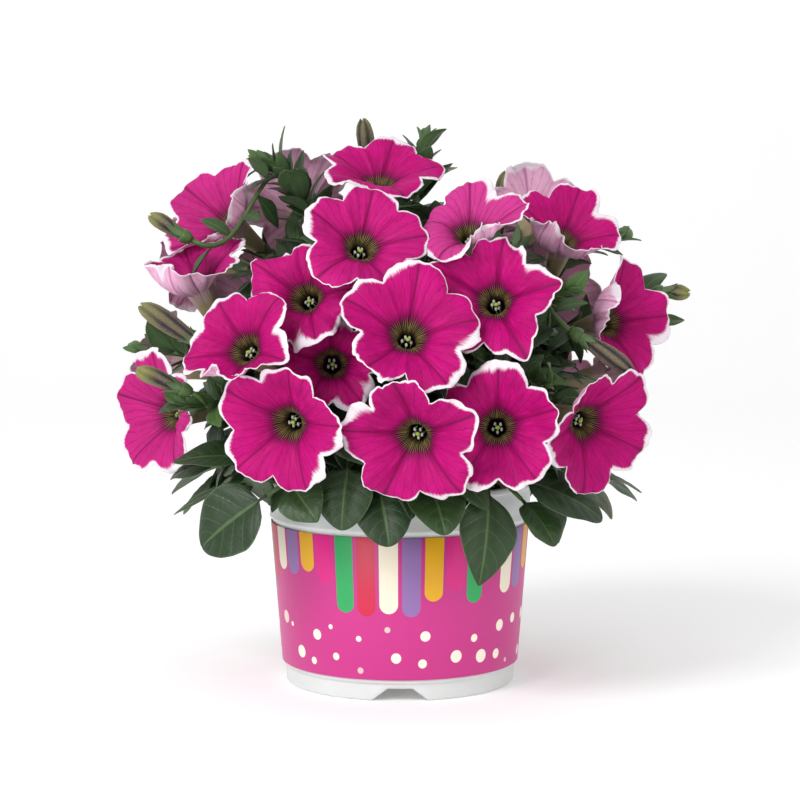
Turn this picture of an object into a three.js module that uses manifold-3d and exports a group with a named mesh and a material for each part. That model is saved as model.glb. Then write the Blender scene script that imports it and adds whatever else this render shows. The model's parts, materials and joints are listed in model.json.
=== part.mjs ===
// A petunia in full bloom in a 12 cm nursery pot: a mounded plant of twelve leafy stems that stand in
// moist peat, with white-edged trumpet blooms all round it, in a white moulded pot with a printed
// wrap-round label. Millimetres, +Z up, origin at the middle of the pot's foot, -Y towards the viewer.
// Each stem, bloom and bud is its own solid. Leaves and petals are placed by rule, and one that would
// touch what is already there takes the next of its poses until it stands clear.
import * as THREE from "three";
import { mergeVertices } from "three/addons/utils/BufferGeometryUtils.js";
import Module from "manifold-3d";

const wasm = await Module();
wasm.setup();

// Driving dimensions
const POT_HEIGHT = 92;
const RIM_RADIUS = 60;
const RIM_BAND = 16; // height of the plain band under the rim
const LIP_HEIGHT = 2.4;
const FOOT_RADIUS = 52;
const FOOT_HEIGHT = 9.4;
const FOOT_RING_WIDTH = 3.2;
const POT_WALL = 1.2;
const POT_SIDES = 32;
const FLOOR_UNDERSIDE = 6;
const FLOOR_THICKNESS = 1.5;
const SEAT_TOP = POT_HEIGHT - RIM_BAND - 2.6; // where the label's seat turns out into the rim band
const LABEL_LOW = FOOT_HEIGHT + 0.3;
const LABEL_TOP = SEAT_TOP - 0.4;
const LABEL_THICKNESS = 0.6;
const SEAT_GAP = 0.3; // between a piece and what it rests on
const NOTCH = { count: 3, height: 5.7, wide: 25, narrow: 11 };
const DRAIN_HOLE = { radius: 4, fromEdge: 12 };
const SOIL_TOP = 82;
const SOIL_MOUND = 4;

const DOME = { centre: new THREE.Vector3(0, 0, 118), radii: new THREE.Vector3(100, 92, 110) };
const BLOOM_RADIUS = 28;
const THROAT_RADIUS = 4.6;
const THROAT_PIT = 9;
const LIMB_DEPTH = 12; // how far the limb's edge stands in front of the throat
const TUBE_LENGTH = 27;
const TUBE_BASE_RADIUS = 2.2;
const PETAL_THICKNESS = 0.8;
const SEPAL_LENGTH = 11;
const BUD_SEPAL_LENGTH = 7.7;
const LEAF_THICKNESS = 0.7;
const STEM_RADIUS = 2.3;
const PEDICEL_RADIUS = 1.1;
const CLEARANCE = 0.4; // kept round every petal, leaf and stalk when it is tried in place

const PETALS = 5;
const PETAL_ANGLE = 360 / PETALS;
const HALF_PETAL = PETAL_ANGLE / 2;
const SHOULDER = 17; // degrees from a petal's cusp to the fullest part of its edge

// Places on the mound, as [degrees round it from the viewer, degrees up, share of its radii].
// face: the way the throat looks. roll: where the first petal points, anticlockwise from the right.
// size: share of BLOOM_RADIUS. curl: degrees that each petal is folded forward, from the first on.
// The first ones lie in front, and each later one gives way to them.
const BLOOMS = [
  { at: [2, 23, 1], face: [7, 28], roll: 8, size: 1.05, curl: [0, 0, 0, 18, 0] },
  { at: [4, 2, 1], face: [-16, -14], roll: 25, size: 1, curl: [0, 20, 0, 0, 0], pointed: 0.08 },
  { at: [-27, 4, 1], face: [-22, -6], roll: 5, size: 1, curl: [0, 12, 0, 0, 0] },
  { at: [24, 3, 1], face: [0, 6], roll: 18, size: 1, curl: [16, 0, 20, 0, 0] },
  { at: [-38, 18, 1.09], face: [-30, 26], roll: -15, size: 0.9, curl: [0, 0, 0, 0, 30] },
  { at: [51, 3, 1], face: [34, -8], roll: -25, size: 1, curl: [0, 0, 35, 10, 0] },
  { at: [28, 31, 1], face: [-10, 24], roll: 12, size: 0.94, curl: [0, -10, 0, -10, 0], pointed: 0.2 },
  { at: [-14, 46, 1], face: [12, 32], roll: 3, size: 0.92, curl: [0, 0, 0, 0, 10] },
  { at: [-30, 34, 0.94], face: [-19, 28], roll: 8, size: 0.96, curl: [0, 0, 0, 0, 0] },
  { at: [-22, 20, 0.82], face: [0, 8], roll: 20, size: 0.8, curl: [0, 0, 0, 0, 0] },
  { at: [80, 24, 1.01], face: [38, 12], roll: 0, size: 0.94, curl: [0, 0, 70, 25, 0] },
  { at: [27, 49, 1.01], face: [0, 50], roll: 18, size: 0.9, curl: [0, 0, 0, 30, 75] },
  { at: [85, 45, 1.02], face: [12, 44], roll: -7, size: 0.92, curl: [0, 0, 0, 70, 40] },
  { at: [-84, 2, 1.01], face: [-52, 2], roll: 20, size: 1, curl: [0, 0, 15, 0, 0] },
  { at: [-80, 31, 1.05], face: [-48, 58], roll: 0, size: 0.92, curl: [0, 0, 0, 50, 70] },
  { at: [-98, 46, 1.1], face: [-42, 30], roll: 10, size: 1.02, curl: [50, 0, 0, 0, 50] },
  { at: [-70, 84, 0.96], face: [4, 66], roll: 0, size: 0.95, curl: [0, 0, 0, 0, 0] },
  { at: [114, 50, 1.03], face: [160, 22], roll: 10, size: 0.94 },
  { at: [-126, 57, 1.02], face: [-160, 28], roll: -8, size: 0.94 },
  { at: [-119, 32, 1.2], face: [-128, 6], roll: 0, size: 0.88 },
  { at: [-112, 10, 1.12], face: [-116, 8], roll: 14, size: 0.86 },
  { at: [112, 8, 1], face: [108, 4], roll: 4, size: 0.98 },
  { at: [142, 2, 1.04], face: [140, -6], roll: 20, size: 1 },
  { at: [174, 5, 1.06], face: [172, 0], roll: -10, size: 1 },
  { at: [-146, 6, 1.04], face: [-148, 0], roll: 12, size: 1 },
  { at: [128, 29, 1], face: [126, 22], roll: -14, size: 0.96 },
  { at: [162, 28, 1.05], face: [162, 22], roll: 6, size: 1 },
  { at: [-164, 36, 1], face: [-166, 32], roll: 18, size: 0.96 },
  { at: [-134, 27, 1], face: [-134, 24], roll: 0, size: 0.94 },
];

// Leafy stems: the place of each tip.
const STEM_TIPS = [
  [-55, 5, 1.1],
  [-95, 13, 1.2],
  [-92, 60, 1.2],
  [155, 77, 1.16],
  [105, 35, 1.27],
  [57, 32, 1],
  [38, 12, 1],
  [97, 18, 1.24],
  [134, 20, 1.02],
  [176, 17, 1.06],
  [-140, 16, 1.04],
  [2, 8, 0.72],
];

// Furled buds and one spent bloom. base and tip: places on the mound. width: at the widest, in mm.
const BUDS = [
  { base: [-160, 70, 1.05], tip: [-151, 74, 1.28], width: 8.5 },
  { base: [-58, 19, 1.08], tip: [-66, 22, 1.32], width: 9.5 },
  { base: [-54, 9, 1.16], tip: [-58, 11, 1.34], width: 8 },
  { base: [-78, 38, 1.24], tip: [-80, 37, 1.4], width: 7.5 },
  { base: [92, 24, 1.29], tip: [90, 22, 1.4], width: 7.5 },
  { base: [49, 21, 1.08], tip: [54, 12, 1.24], width: 8.5 },
  { base: [140, 48, 1.08], tip: [142, 51, 1.3], width: 8.5 },
  { base: [-157, 16, 1.08], tip: [-155, 20, 1.3], width: 9 },
  { base: [-139, 44, 1.12], tip: [-137, 47, 1.32], width: 7.5 },
];

// Large lower leaves that hang over the rim, from their foot to their point, as
// [degrees round the pot, millimetres out, millimetres up]. face: the way the upper side looks.
const SKIRT_LEAVES = [
  { from: [-40, 88, 93], to: [-56, 103, 69], face: [-25, 20], width: 31, droop: 30 },
  { from: [-54, 80, 97], to: [-66, 108, 81], face: [-60, 75], width: 14, droop: 25 },
  { from: [-56, 78, 106], to: [-66, 108, 104], face: [-30, 60], width: 19, droop: 30 },
  { from: [-68, 84, 102], to: [-76, 108, 98], face: [-50, 60], width: 20, droop: 40 },
  { from: [-34, 84, 99], to: [-22, 92, 84], face: [-20, 30], width: 20, droop: 30 },
  { from: [-17, 74, 108], to: [-18, 94, 84], face: [-12, 22], width: 25, droop: 35 },
  { from: [-8, 66, 98], to: [-1, 91, 81], face: [-4, 40], width: 26, droop: 55 },
  { from: [10, 66, 98], to: [12, 91, 79], face: [8, 40], width: 24, droop: 55 },
  { from: [30, 76, 97], to: [21, 92, 57], face: [22, 12], width: 25, droop: 30 },
  { from: [39, 80, 99], to: [56, 105, 81], face: [30, 45], width: 23, droop: 40 },
  { from: [42, 78, 90], to: [44, 95, 71], face: [40, 25], width: 19, droop: 35 },
  { from: [52, 78, 92], to: [54, 95, 74], face: [50, 30], width: 16, droop: 35 },
  { from: [62, 88, 100], to: [74, 111, 89], face: [60, 75], width: 13, droop: 30 },
  { from: [84, 72, 97], to: [86, 107, 82], face: [84, 45], width: 28, droop: 45 },
  { from: [104, 72, 97], to: [100, 99, 70], face: [104, 30], width: 29, droop: 45 },
  { from: [124, 70, 96], to: [128, 105, 80], face: [124, 45], width: 28, droop: 45 },
  { from: [146, 72, 97], to: [144, 100, 69], face: [146, 30], width: 30, droop: 45 },
  { from: [168, 70, 96], to: [172, 106, 80], face: [168, 45], width: 28, droop: 45 },
  { from: [-170, 72, 97], to: [-166, 100, 70], face: [-170, 30], width: 30, droop: 45 },
  { from: [-148, 70, 96], to: [-152, 105, 80], face: [-148, 45], width: 28, droop: 45 },
  { from: [-126, 72, 97], to: [-124, 100, 70], face: [-126, 30], width: 29, droop: 45 },
  { from: [-102, 72, 98], to: [-98, 106, 82], face: [-102, 45], width: 28, droop: 45 },
  { from: [-84, 76, 94], to: [-86, 98, 76], face: [-80, 35], width: 20, droop: 40 },
];

const RAD = Math.PI / 180;
const UP = new THREE.Vector3(0, 0, 1);

// Small helpers

// A fixed sequence of numbers from 0 to 1 (the Park-Miller generator), the same on every run.
function draws(seed) {
  let state = seed * 7919 + 17;
  const next = () => (state = (state * 48271) % 2147483647) / 2147483647;
  for (let i = 0; i < 3; i++) next();
  return next;
}

const between = (random, low, high) => low + (high - low) * random();
const smooth = (x) => x * x * (3 - 2 * x);

// Azimuth 0 faces the viewer and 90 the viewer's right.
function heading(azimuth, elevation) {
  const a = azimuth * RAD;
  const e = elevation * RAD;
  return new THREE.Vector3(
    Math.sin(a) * Math.cos(e),
    -Math.cos(a) * Math.cos(e),
    Math.sin(e),
  );
}

// A point on the mound from its degrees round, degrees up and share of the radii.
function onMound([azimuth, elevation, share]) {
  return heading(azimuth, elevation).multiply(DOME.radii).multiplyScalar(share).add(DOME.centre);
}

// A point from its degrees round the pot, millimetres out and millimetres up.
function roundPot([azimuth, out, up]) {
  return heading(azimuth, 0).multiplyScalar(out).setZ(up);
}

// A turned frame at a point: forward, and its right and up as someone who faces it sees them.
function frameAt(origin, forward) {
  const f = forward.clone().normalize();
  const up = UP.clone().addScaledVector(f, -UP.dot(f)).normalize();
  return { origin, f, up, right: up.clone().cross(f) };
}

// The point at radius r and angle theta round the frame's axis, w along it.
function around(frame, r, theta, w) {
  return frame.origin
    .clone()
    .addScaledVector(frame.right, r * Math.cos(theta))
    .addScaledVector(frame.up, r * Math.sin(theta))
    .addScaledVector(frame.f, w);
}

// Solids from rings of points

// Triangles between two closed rings. Ring b has as many points as ring a, half as many, or twice.
function stitch(a, b) {
  const out = [];
  if (a.length > b.length) {
    return stitch(b, a).map(([p, q, r]) => [p, r, q]);
  }
  const step = b.length / a.length;
  for (let i = 0; i < a.length; i++) {
    const a0 = a[i];
    const a1 = a[(i + 1) % a.length];
    const b0 = b[i * step];
    const b1 = b[(i * step + 1) % b.length];
    if (step === 1) {
      out.push([a0, a1, b1], [a0, b1, b0]);
    } else {
      const b2 = b[(i * step + 2) % b.length];
      out.push([a0, b1, b0], [a0, a1, b1], [a1, b2, b1]);
    }
  }
  return out;
}

const fan = (tip, ring) => ring.map((p, i) => [tip, ring[(i + 1) % ring.length], p]);
const flip = (triangles) => triangles.map(([p, q, r]) => [p, r, q]);

// The closed surface that runs from one tip through the rings to the other tip.
function loft(startTip, rings, endTip) {
  const triangles = fan(startTip, rings[0]);
  for (let i = 0; i + 1 < rings.length; i++) triangles.push(...stitch(rings[i], rings[i + 1]));
  triangles.push(...flip(fan(endTip, rings[rings.length - 1])));
  return triangles;
}

function geometryOf(triangles) {
  const flat = new Float32Array(triangles.length * 9);
  triangles.flat().forEach((p, i) => flat.set([p.x, p.y, p.z], i * 3));
  return new THREE.BufferGeometry().setAttribute("position", new THREE.BufferAttribute(flat, 3));
}

// A closed geometry as a solid that can be joined, cut and tried against others.
function solidOf(geometry, tolerance = 1e-4) {
  const bare = geometry.index ? geometry.toNonIndexed() : geometry.clone();
  bare.deleteAttribute("normal");
  bare.deleteAttribute("uv");
  const merged = mergeVertices(bare, tolerance);
  const solid = new wasm.Manifold(
    new wasm.Mesh({
      numProp: 3,
      vertProperties: merged.attributes.position.array,
      triVerts: new Uint32Array(merged.index.array),
    }),
  );
  if (solid.volume() <= 0) throw new Error("a solid is inside out");
  return solid;
}

const solidFrom = (triangles) => solidOf(geometryOf(triangles));

function geometryFrom(solid) {
  const mesh = solid.getMesh();
  const points = new Float32Array(mesh.numVert * 3);
  for (let i = 0; i < mesh.numVert; i++) {
    points.set(mesh.vertProperties.subarray(i * mesh.numProp, i * mesh.numProp + 3), i * 3);
  }
  return new THREE.BufferGeometry()
    .setAttribute("position", new THREE.BufferAttribute(points, 3))
    .setIndex(new THREE.BufferAttribute(mesh.triVerts, 1));
}

// The largest single body of a solid, without slivers, so that no loose scrap or bubble is left.
const SLIVER = 0.12;
function wholeBody(solid) {
  let body = solid.simplify(SLIVER);
  for (let i = 0; i < 2; i++) {
    const bodies = body.decompose();
    const largest = bodies.reduce((most, b) => (b.volume() > most.volume() ? b : most));
    body = solidOf(geometryFrom(largest), 2e-3);
  }
  return body;
}

// What is already in place
const placed = [];

function place(owner, solid) {
  placed.push({ owner, solid, box: solid.boundingBox() });
}

function boxesMeet(a, b) {
  return [0, 1, 2].every((i) => a.min[i] <= b.max[i] && b.min[i] <= a.max[i]);
}

// What the solid cuts into, apart from the owners that are named.
function touching(solid, ...except) {
  const box = solid.boundingBox();
  return placed
    .filter((p) => !except.includes(p.owner) && boxesMeet(p.box, box))
    .map((p) => ({ owner: p.owner, shared: solid.intersect(p.solid) }))
    .filter((t) => !t.shared.isEmpty());
}

const isClear = (solid, ...except) => touching(solid, ...except).length === 0;

// Materials, from the photograph
const MATERIALS = {
  pot: { color: "#e9eaea", roughness: 0.35 },
  label: { color: "#e0529e", roughness: 0.45 },
  soil: { color: "#3a2a1e", roughness: 1 },
  foliage: { color: "#3f6b33", roughness: 0.6 },
  petal: { color: "#c4087b", roughness: 0.55 },
  bud: { color: "#6b5560", roughness: 0.6 },
};

const plant = new THREE.Group();

function addNode(name, material, geometry) {
  geometry.computeVertexNormals();
  const mesh = new THREE.Mesh(
    geometry,
    new THREE.MeshStandardMaterial({ ...MATERIALS[material], metalness: 0 }),
  );
  mesh.name = name;
  plant.add(mesh);
}

// Pot: one lathe-turned wall with a rim band, a label seat, a raised floor and a notched foot ring.
const seatRadius = (z) => {
  const low = FOOT_RADIUS + 0.7;
  const high = RIM_RADIUS - 2.3;
  return low + ((high - low) * (z - FOOT_HEIGHT)) / (SEAT_TOP - FOOT_HEIGHT);
};

function lathe(profile) {
  const points = profile.map(([r, z]) => new THREE.Vector2(r, z));
  return new THREE.LatheGeometry(points, POT_SIDES).rotateX(Math.PI / 2);
}

function potSolid() {
  const band = POT_HEIGHT - RIM_BAND;
  const floorTop = FLOOR_UNDERSIDE + FLOOR_THICKNESS;
  const profile = [
    [0, FLOOR_UNDERSIDE],
    [FOOT_RADIUS - FOOT_RING_WIDTH - 0.2, FLOOR_UNDERSIDE],
    [FOOT_RADIUS - FOOT_RING_WIDTH, 0],
    [FOOT_RADIUS - 1.1, 0],
    [FOOT_RADIUS - 0.2, 1.2],
    [FOOT_RADIUS, FOOT_HEIGHT - 2],
    [FOOT_RADIUS + 0.9, FOOT_HEIGHT - 0.6],
    [seatRadius(FOOT_HEIGHT), FOOT_HEIGHT],
    [seatRadius(SEAT_TOP), SEAT_TOP],
    [RIM_RADIUS - 0.8, band - 1],
    [RIM_RADIUS - 1.2, band + 0.8],
    [RIM_RADIUS - 0.8, POT_HEIGHT - LIP_HEIGHT - 0.6],
    [RIM_RADIUS, POT_HEIGHT - LIP_HEIGHT],
    [RIM_RADIUS, POT_HEIGHT],
    [RIM_RADIUS - 1.9, POT_HEIGHT],
    [seatRadius(SEAT_TOP) - POT_WALL, SEAT_TOP],
    [seatRadius(FOOT_HEIGHT) - POT_WALL, FOOT_HEIGHT - 0.4],
    [FOOT_RADIUS - 2, floorTop],
    [0, floorTop],
  ];
  let pot = solidOf(lathe(profile));
  for (let i = 0; i < NOTCH.count; i++) {
    const azimuth = (i * 360) / NOTCH.count;
    pot = pot.subtract(notchCutter(azimuth)).subtract(drainCutter(azimuth));
  }
  return pot;
}

// The wedge that leaves a gap for draining water in the foot ring.
function notchCutter(azimuth) {
  const outline = new THREE.Shape([
    new THREE.Vector2(-NOTCH.wide / 2 - 1, -1.2),
    new THREE.Vector2(NOTCH.wide / 2 + 1, -1.2),
    new THREE.Vector2(NOTCH.narrow / 2, NOTCH.height),
    new THREE.Vector2(-NOTCH.narrow / 2, NOTCH.height),
  ]);
  const depth = 20;
  const cutter = new THREE.ExtrudeGeometry(outline, { depth, bevelEnabled: false });
  cutter.rotateX(Math.PI / 2);
  cutter.translate(0, -FOOT_RADIUS + depth / 2, 0);
  cutter.rotateZ(azimuth * RAD);
  return solidOf(cutter);
}

// A drain hole through the floor, just inside each notch.
function drainCutter(azimuth) {
  const cutter = new THREE.CylinderGeometry(DRAIN_HOLE.radius, DRAIN_HOLE.radius, 4, 8);
  cutter.rotateX(Math.PI / 2);
  cutter.translate(0, -FOOT_RADIUS + DRAIN_HOLE.fromEdge, FLOOR_UNDERSIDE + FLOOR_THICKNESS / 2);
  cutter.rotateZ(azimuth * RAD);
  return solidOf(cutter);
}

// Label: a printed band wrapped round the pot in the seat between the foot and the rim band.
function labelSolid() {
  const low = seatRadius(LABEL_LOW) + SEAT_GAP;
  const high = seatRadius(LABEL_TOP) + SEAT_GAP;
  return solidOf(
    lathe([
      [low, LABEL_LOW],
      [low + LABEL_THICKNESS, LABEL_LOW],
      [high + LABEL_THICKNESS, LABEL_TOP],
      [high, LABEL_TOP],
      [low, LABEL_LOW],
    ]),
  );
}

// Soil: peat that fills the pot to a little under the rim, gently heaped and uneven.
const soilHeight = (x, y) => {
  const r = Math.hypot(x, y) / RIM_RADIUS;
  const lumps = Math.sin(x * 0.21 + 1) * Math.cos(y * 0.17) + Math.sin((x - y) * 0.13);
  return SOIL_TOP + SOIL_MOUND * (1 - r * r) + 0.5 * lumps;
};

const SOIL_SIDES = 20;
function soilSolid() {
  const low = FLOOR_UNDERSIDE + FLOOR_THICKNESS + SEAT_GAP;
  const wall = (z) => (seatRadius(z) - POT_WALL) * Math.cos(Math.PI / POT_SIDES) - SEAT_GAP;
  const ring = (r, height) =>
    Array.from({ length: SOIL_SIDES }, (_, i) => {
      const a = (i * 360 * RAD) / SOIL_SIDES;
      const x = r * Math.cos(a);
      const y = r * Math.sin(a);
      return new THREE.Vector3(x, y, height ?? soilHeight(x, y));
    });
  const half = (points) => points.filter((_, i) => i % 2 === 0);
  const rings = [
    ring(wall(FOOT_HEIGHT) - 1, low),
    ring(wall(SOIL_TOP), SOIL_TOP - 3),
    ring(wall(SOIL_TOP)),
    ring(38),
    half(ring(19)),
  ];
  return solidFrom(
    loft(new THREE.Vector3(0, 0, low), rings, new THREE.Vector3(0, 0, soilHeight(0, 0))),
  );
}

// Leafy stems

// The stem's curve rises from the peat and arches out to its tip.
function stemCurve(tip) {
  const flat = new THREE.Vector3(tip.x, tip.y, 0);
  const out = flat.clone().normalize();
  const foot = out.clone().multiplyScalar(4 + 0.2 * flat.length());
  foot.z = SOIL_TOP - 8;
  const bend = flat.clone().multiplyScalar(0.42);
  bend.z = SOIL_TOP + 0.82 * (tip.z - SOIL_TOP) + 16;
  return new THREE.QuadraticBezierCurve3(foot, bend, tip);
}

const FIVE_SIDES = [0, 72, 144, 216, 288];

// A tapering stalk of flat-sided section along a curve, with a ring of points at each step. Its
// frames are carried back from the far end, whose up is given, so that the sides run straight.
function stalkRings(curve, steps, radiusAt, endUp, angles) {
  const rings = [];
  const up = endUp.clone();
  for (let i = steps; i >= 0; i--) {
    const t = i / steps;
    const f = curve.getTangent(t);
    up.addScaledVector(f, -up.dot(f)).normalize();
    const frame = { origin: curve.getPoint(t), f, up, right: up.clone().cross(f) };
    rings.unshift(angles.map((angle) => around(frame, radiusAt(t), angle * RAD, 0)));
  }
  return rings;
}

function stemSolid(curve, extra) {
  const across = curve.getTangent(0.5).cross(UP);
  const radiusAt = (t) => STEM_RADIUS * (1 - 0.5 * t) + extra;
  const rings = stalkRings(curve, 5, radiusAt, across, FIVE_SIDES);
  return solidFrom(loft(curve.getPoint(0), rings, curve.getPoint(1)));
}

// Blooms

// One bloom's own numbers: petal lengths, the ruffle of each half petal and how pointed they are.
function bloomForm(index, pointed = 0.04) {
  const random = draws(100 + index);
  return {
    pointed,
    petals: Array.from({ length: PETALS }, () => between(random, 0.93, 1.07)),
    ruffles: Array.from({ length: PETALS * 2 }, () => between(random, -0.6, 3.4)),
  };
}

// The poses a petal may take when it meets something: degrees that it curls back, and its length.
const PETAL_POSES = [
  [0, 1],
  [-12, 1],
  [-24, 1],
  [-36, 1],
  [-50, 1],
  [-65, 0.95],
  [14, 1],
  [28, 1],
  [-30, 0.8],
  [-60, 0.8],
  [0, 0.75],
  [-90, 0.8],
  [-50, 0.6],
  [0, 0.55],
  [-95, 0.55],
  [-50, 0.42],
  [0, 0.38],
  [-110, 0.36],
  [0, 0.28],
];

// Reads a value per petal at u, from -1 to 1 across petal k, easing to its neighbours at the notches.
function perPetal(values, k, u) {
  const neighbour = values[(k + (u < 0 ? PETALS - 1 : 1)) % PETALS];
  const share = smooth(Math.abs(u)) / 2;
  return values[k] * (1 - share) + neighbour * share;
}

// The limb's surface at theta degrees from the first petal and share s from throat to edge, as radius
// and height along the axis. It flares like a shallow funnel, is notched between its petals, comes to
// a cusp at each midrib, ruffles at its shoulders, and curls petal by petal from the share CURL_FROM.
const CURL_FROM = 0.3;
function limb(form, poses, size, theta, s) {
  const turn = (((theta + HALF_PETAL) % 360) + 360) % 360;
  const k = Math.floor(turn / PETAL_ANGLE) % PETALS;
  const u = (turn - k * PETAL_ANGLE) / HALF_PETAL - 1;
  const length = perPetal(form.petals.map((p, i) => p * poses[i][1]), k, u);
  const notch = 0.22 * Math.exp(-(((1 - Math.abs(u)) / 0.26) ** 2));
  const cusp = form.pointed * Math.exp(-((u / 0.2) ** 2));
  const reach = BLOOM_RADIUS * size * length * (1 - notch + cusp);
  const ruffle = form.ruffles[k * 2 + (u < 0 ? 0 : 1)] * Math.sin(Math.PI * Math.abs(u)) ** 2;
  const flare = (q) => [
    THROAT_RADIUS + (reach - THROAT_RADIUS) * q,
    LIMB_DEPTH * size * (1 - (1 - q) ** 1.8) * Math.min(1, length) + ruffle * q * q,
  ];
  const [r, w] = flare(s);
  if (s <= CURL_FROM) return [r, w];
  const [r0, w0] = flare(CURL_FROM);
  const bend = (perPetal(poses.map((p) => p[0]), k, u) * RAD * (s - CURL_FROM)) / (1 - CURL_FROM);
  const c = Math.cos(bend);
  const d = Math.sin(bend);
  return [r0 + (r - r0) * c - (w - w0) * d, w0 + (r - r0) * d + (w - w0) * c];
}

// The same, moved back through the petal's thickness.
function limbBack(form, poses, size, theta, s, thickness) {
  const step = 0.02;
  const [r, w] = limb(form, poses, size, theta, s);
  const [r1, w1] = limb(form, poses, size, theta, s - step);
  const run = Math.hypot(r - r1, w - w1);
  return [r + ((w - w1) / run) * thickness, w - ((r - r1) / run) * thickness];
}

const RING_ANGLES = Array.from({ length: PETALS }, (_, k) => [
  k * PETAL_ANGLE - HALF_PETAL,
  k * PETAL_ANGLE - SHOULDER,
  k * PETAL_ANGLE,
  k * PETAL_ANGLE + SHOULDER,
]).flat();
const HALF_RING = RING_ANGLES.filter((_, i) => i % 2 === 0);
const NOTCH_RING = RING_ANGLES.filter((_, i) => i % 4 === 0);
const MID_LIMB = 0.5;

// A corolla: throat pit, funnel limb with thickness, and the tube behind it down to its base.
function bloomSolid(bloom, poses, extra) {
  const { frame, form, size, roll } = bloom;
  const front = (angles, s, lift) =>
    angles.map((theta) => {
      const [r, w] = limb(form, poses, size, theta, s);
      return around(frame, r + (s === 1 ? extra : 0), (theta + roll) * RAD, w + lift);
    });
  const back = (angles, s) =>
    angles.map((theta) => {
      const [r, w] = limbBack(form, poses, size, theta, s, PETAL_THICKNESS + extra);
      return around(frame, r + (s === 1 ? extra : 0), (theta + roll) * RAD, w);
    });
  const tubeRing = (r, w) =>
    NOTCH_RING.map((theta) => around(frame, r, (theta + roll) * RAD, w));
  const rings = [
    front(NOTCH_RING, 0, extra),
    front(HALF_RING, MID_LIMB, extra),
    front(RING_ANGLES, 1, extra),
    back(RING_ANGLES, 1),
    back(HALF_RING, MID_LIMB),
    tubeRing(THROAT_RADIUS + 1.5 + extra, -4),
    tubeRing(TUBE_BASE_RADIUS + extra, -TUBE_LENGTH),
  ];
  const pit = around(frame, 0, 0, -THROAT_PIT);
  return solidFrom(flip(loft(pit, rings, around(frame, 0, 0, -TUBE_LENGTH))));
}

// Bends the petals that meet something, one pose at a time, until the whole bloom is clear, and then
// lets each petal back to the first pose that stays clear.
function poseBloom(bloom) {
  const tries = Array(PETALS).fill(0);
  const posesOf = (numbers) =>
    numbers.map((n, k) => [PETAL_POSES[n][0] + (bloom.curl?.[k] ?? 0), PETAL_POSES[n][1]]);
  const hitsOf = (numbers) => touching(bloomSolid(bloom, posesOf(numbers), CLEARANCE));
  for (;;) {
    const hits = hitsOf(tries);
    if (!hits.length) break;
    const meeting = new Set();
    for (const { shared } of hits) {
      const mesh = shared.getMesh();
      for (let i = 0; i < mesh.numVert; i++) {
        const p = new THREE.Vector3(...mesh.vertProperties.subarray(i * 3, i * 3 + 3));
        p.sub(bloom.frame.origin);
        const theta = Math.atan2(p.dot(bloom.frame.up), p.dot(bloom.frame.right)) / RAD;
        const turn = (((theta - bloom.roll + HALF_PETAL) % 360) + 360) % 360;
        meeting.add(Math.floor(turn / PETAL_ANGLE) % PETALS);
      }
    }
    let moved = false;
    for (const k of meeting) {
      if (tries[k] + 1 < PETAL_POSES.length) {
        tries[k] += 1;
        moved = true;
      }
    }
    if (!moved) throw new Error(`${bloom.name} meets ${hits.map((h) => h.owner)}`);
  }
  for (let k = 0; k < PETALS; k++) {
    for (let n = 0; n < tries[k]; n++) {
      const eased = tries.with(k, n);
      if (hitsOf(eased).length) continue;
      tries[k] = n;
      break;
    }
  }
  return posesOf(tries);
}

// Calyx and pedicel: a thin stalk from the stem that widens into a cup of five pointed sepals.

// The stalk's curve leaves the stem at share t of its length and ends square on the flower's base.
function pedicelCurve(stem, t, base, facing, slack) {
  const start = stem.curve.getPoint(t);
  const reach = start.distanceTo(base) * slack;
  const away = stem.curve.getTangent(t).multiplyScalar(0.4 * reach).add(start);
  const into = base.clone().addScaledVector(facing, -0.45 * reach);
  return new THREE.CubicBezierCurve3(start, away, into, base);
}

function calyxSolid(curve, frame, length, extra) {
  const steps = 3;
  const radiusAt = (t) => PEDICEL_RADIUS * (1.1 + 0.5 * t) + extra;
  const stalk = stalkRings(curve, steps, radiusAt, frame.up, FIVE_SIDES);
  const star = (tipRadius, tipW, valleyRadius, valleyW) =>
    Array.from({ length: PETALS * 2 }, (_, i) => {
      const a = (i * Math.PI) / PETALS;
      return i % 2
        ? around(frame, valleyRadius + extra, a, valleyW)
        : around(frame, tipRadius + extra, a, tipW);
    });
  const cup = (r, w) =>
    Array.from({ length: PETALS }, (_, i) => around(frame, r, (i * 2 * Math.PI) / PETALS, w));
  const rings = [
    ...stalk.slice(0, steps),
    cup(PEDICEL_RADIUS * 1.6 + extra, -4),
    star(length * 0.55, length, 3.3, 0.6),
    cup(2.7, -SEAT_GAP),
  ];
  return solidFrom(loft(curve.getPoint(0), rings, around(frame, 0, 0, -SEAT_GAP)));
}

// Buds: a pleated spindle, twisted as it is furled, that ends in a ragged mouth.
const BUD_PROFILE = [
  [0, 0.46],
  [0.6, 0.98],
  [0.93, 0.8],
];
const BUD_TWIST = 50; // degrees from end to end

function budSolid(bud, extra) {
  const { frame, length, width } = bud;
  const rings = BUD_PROFILE.map(([share, swell]) =>
    Array.from({ length: PETALS * 2 }, (_, i) => {
      const r = (width / 2) * swell * (i % 2 ? 0.78 : 1) + extra;
      return around(frame, r, (i * Math.PI) / PETALS + share * BUD_TWIST * RAD, share * length);
    }),
  );
  return solidFrom(loft(frame.origin.clone(), rings, around(frame, 0, 0, length)));
}

// Leaves

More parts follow.
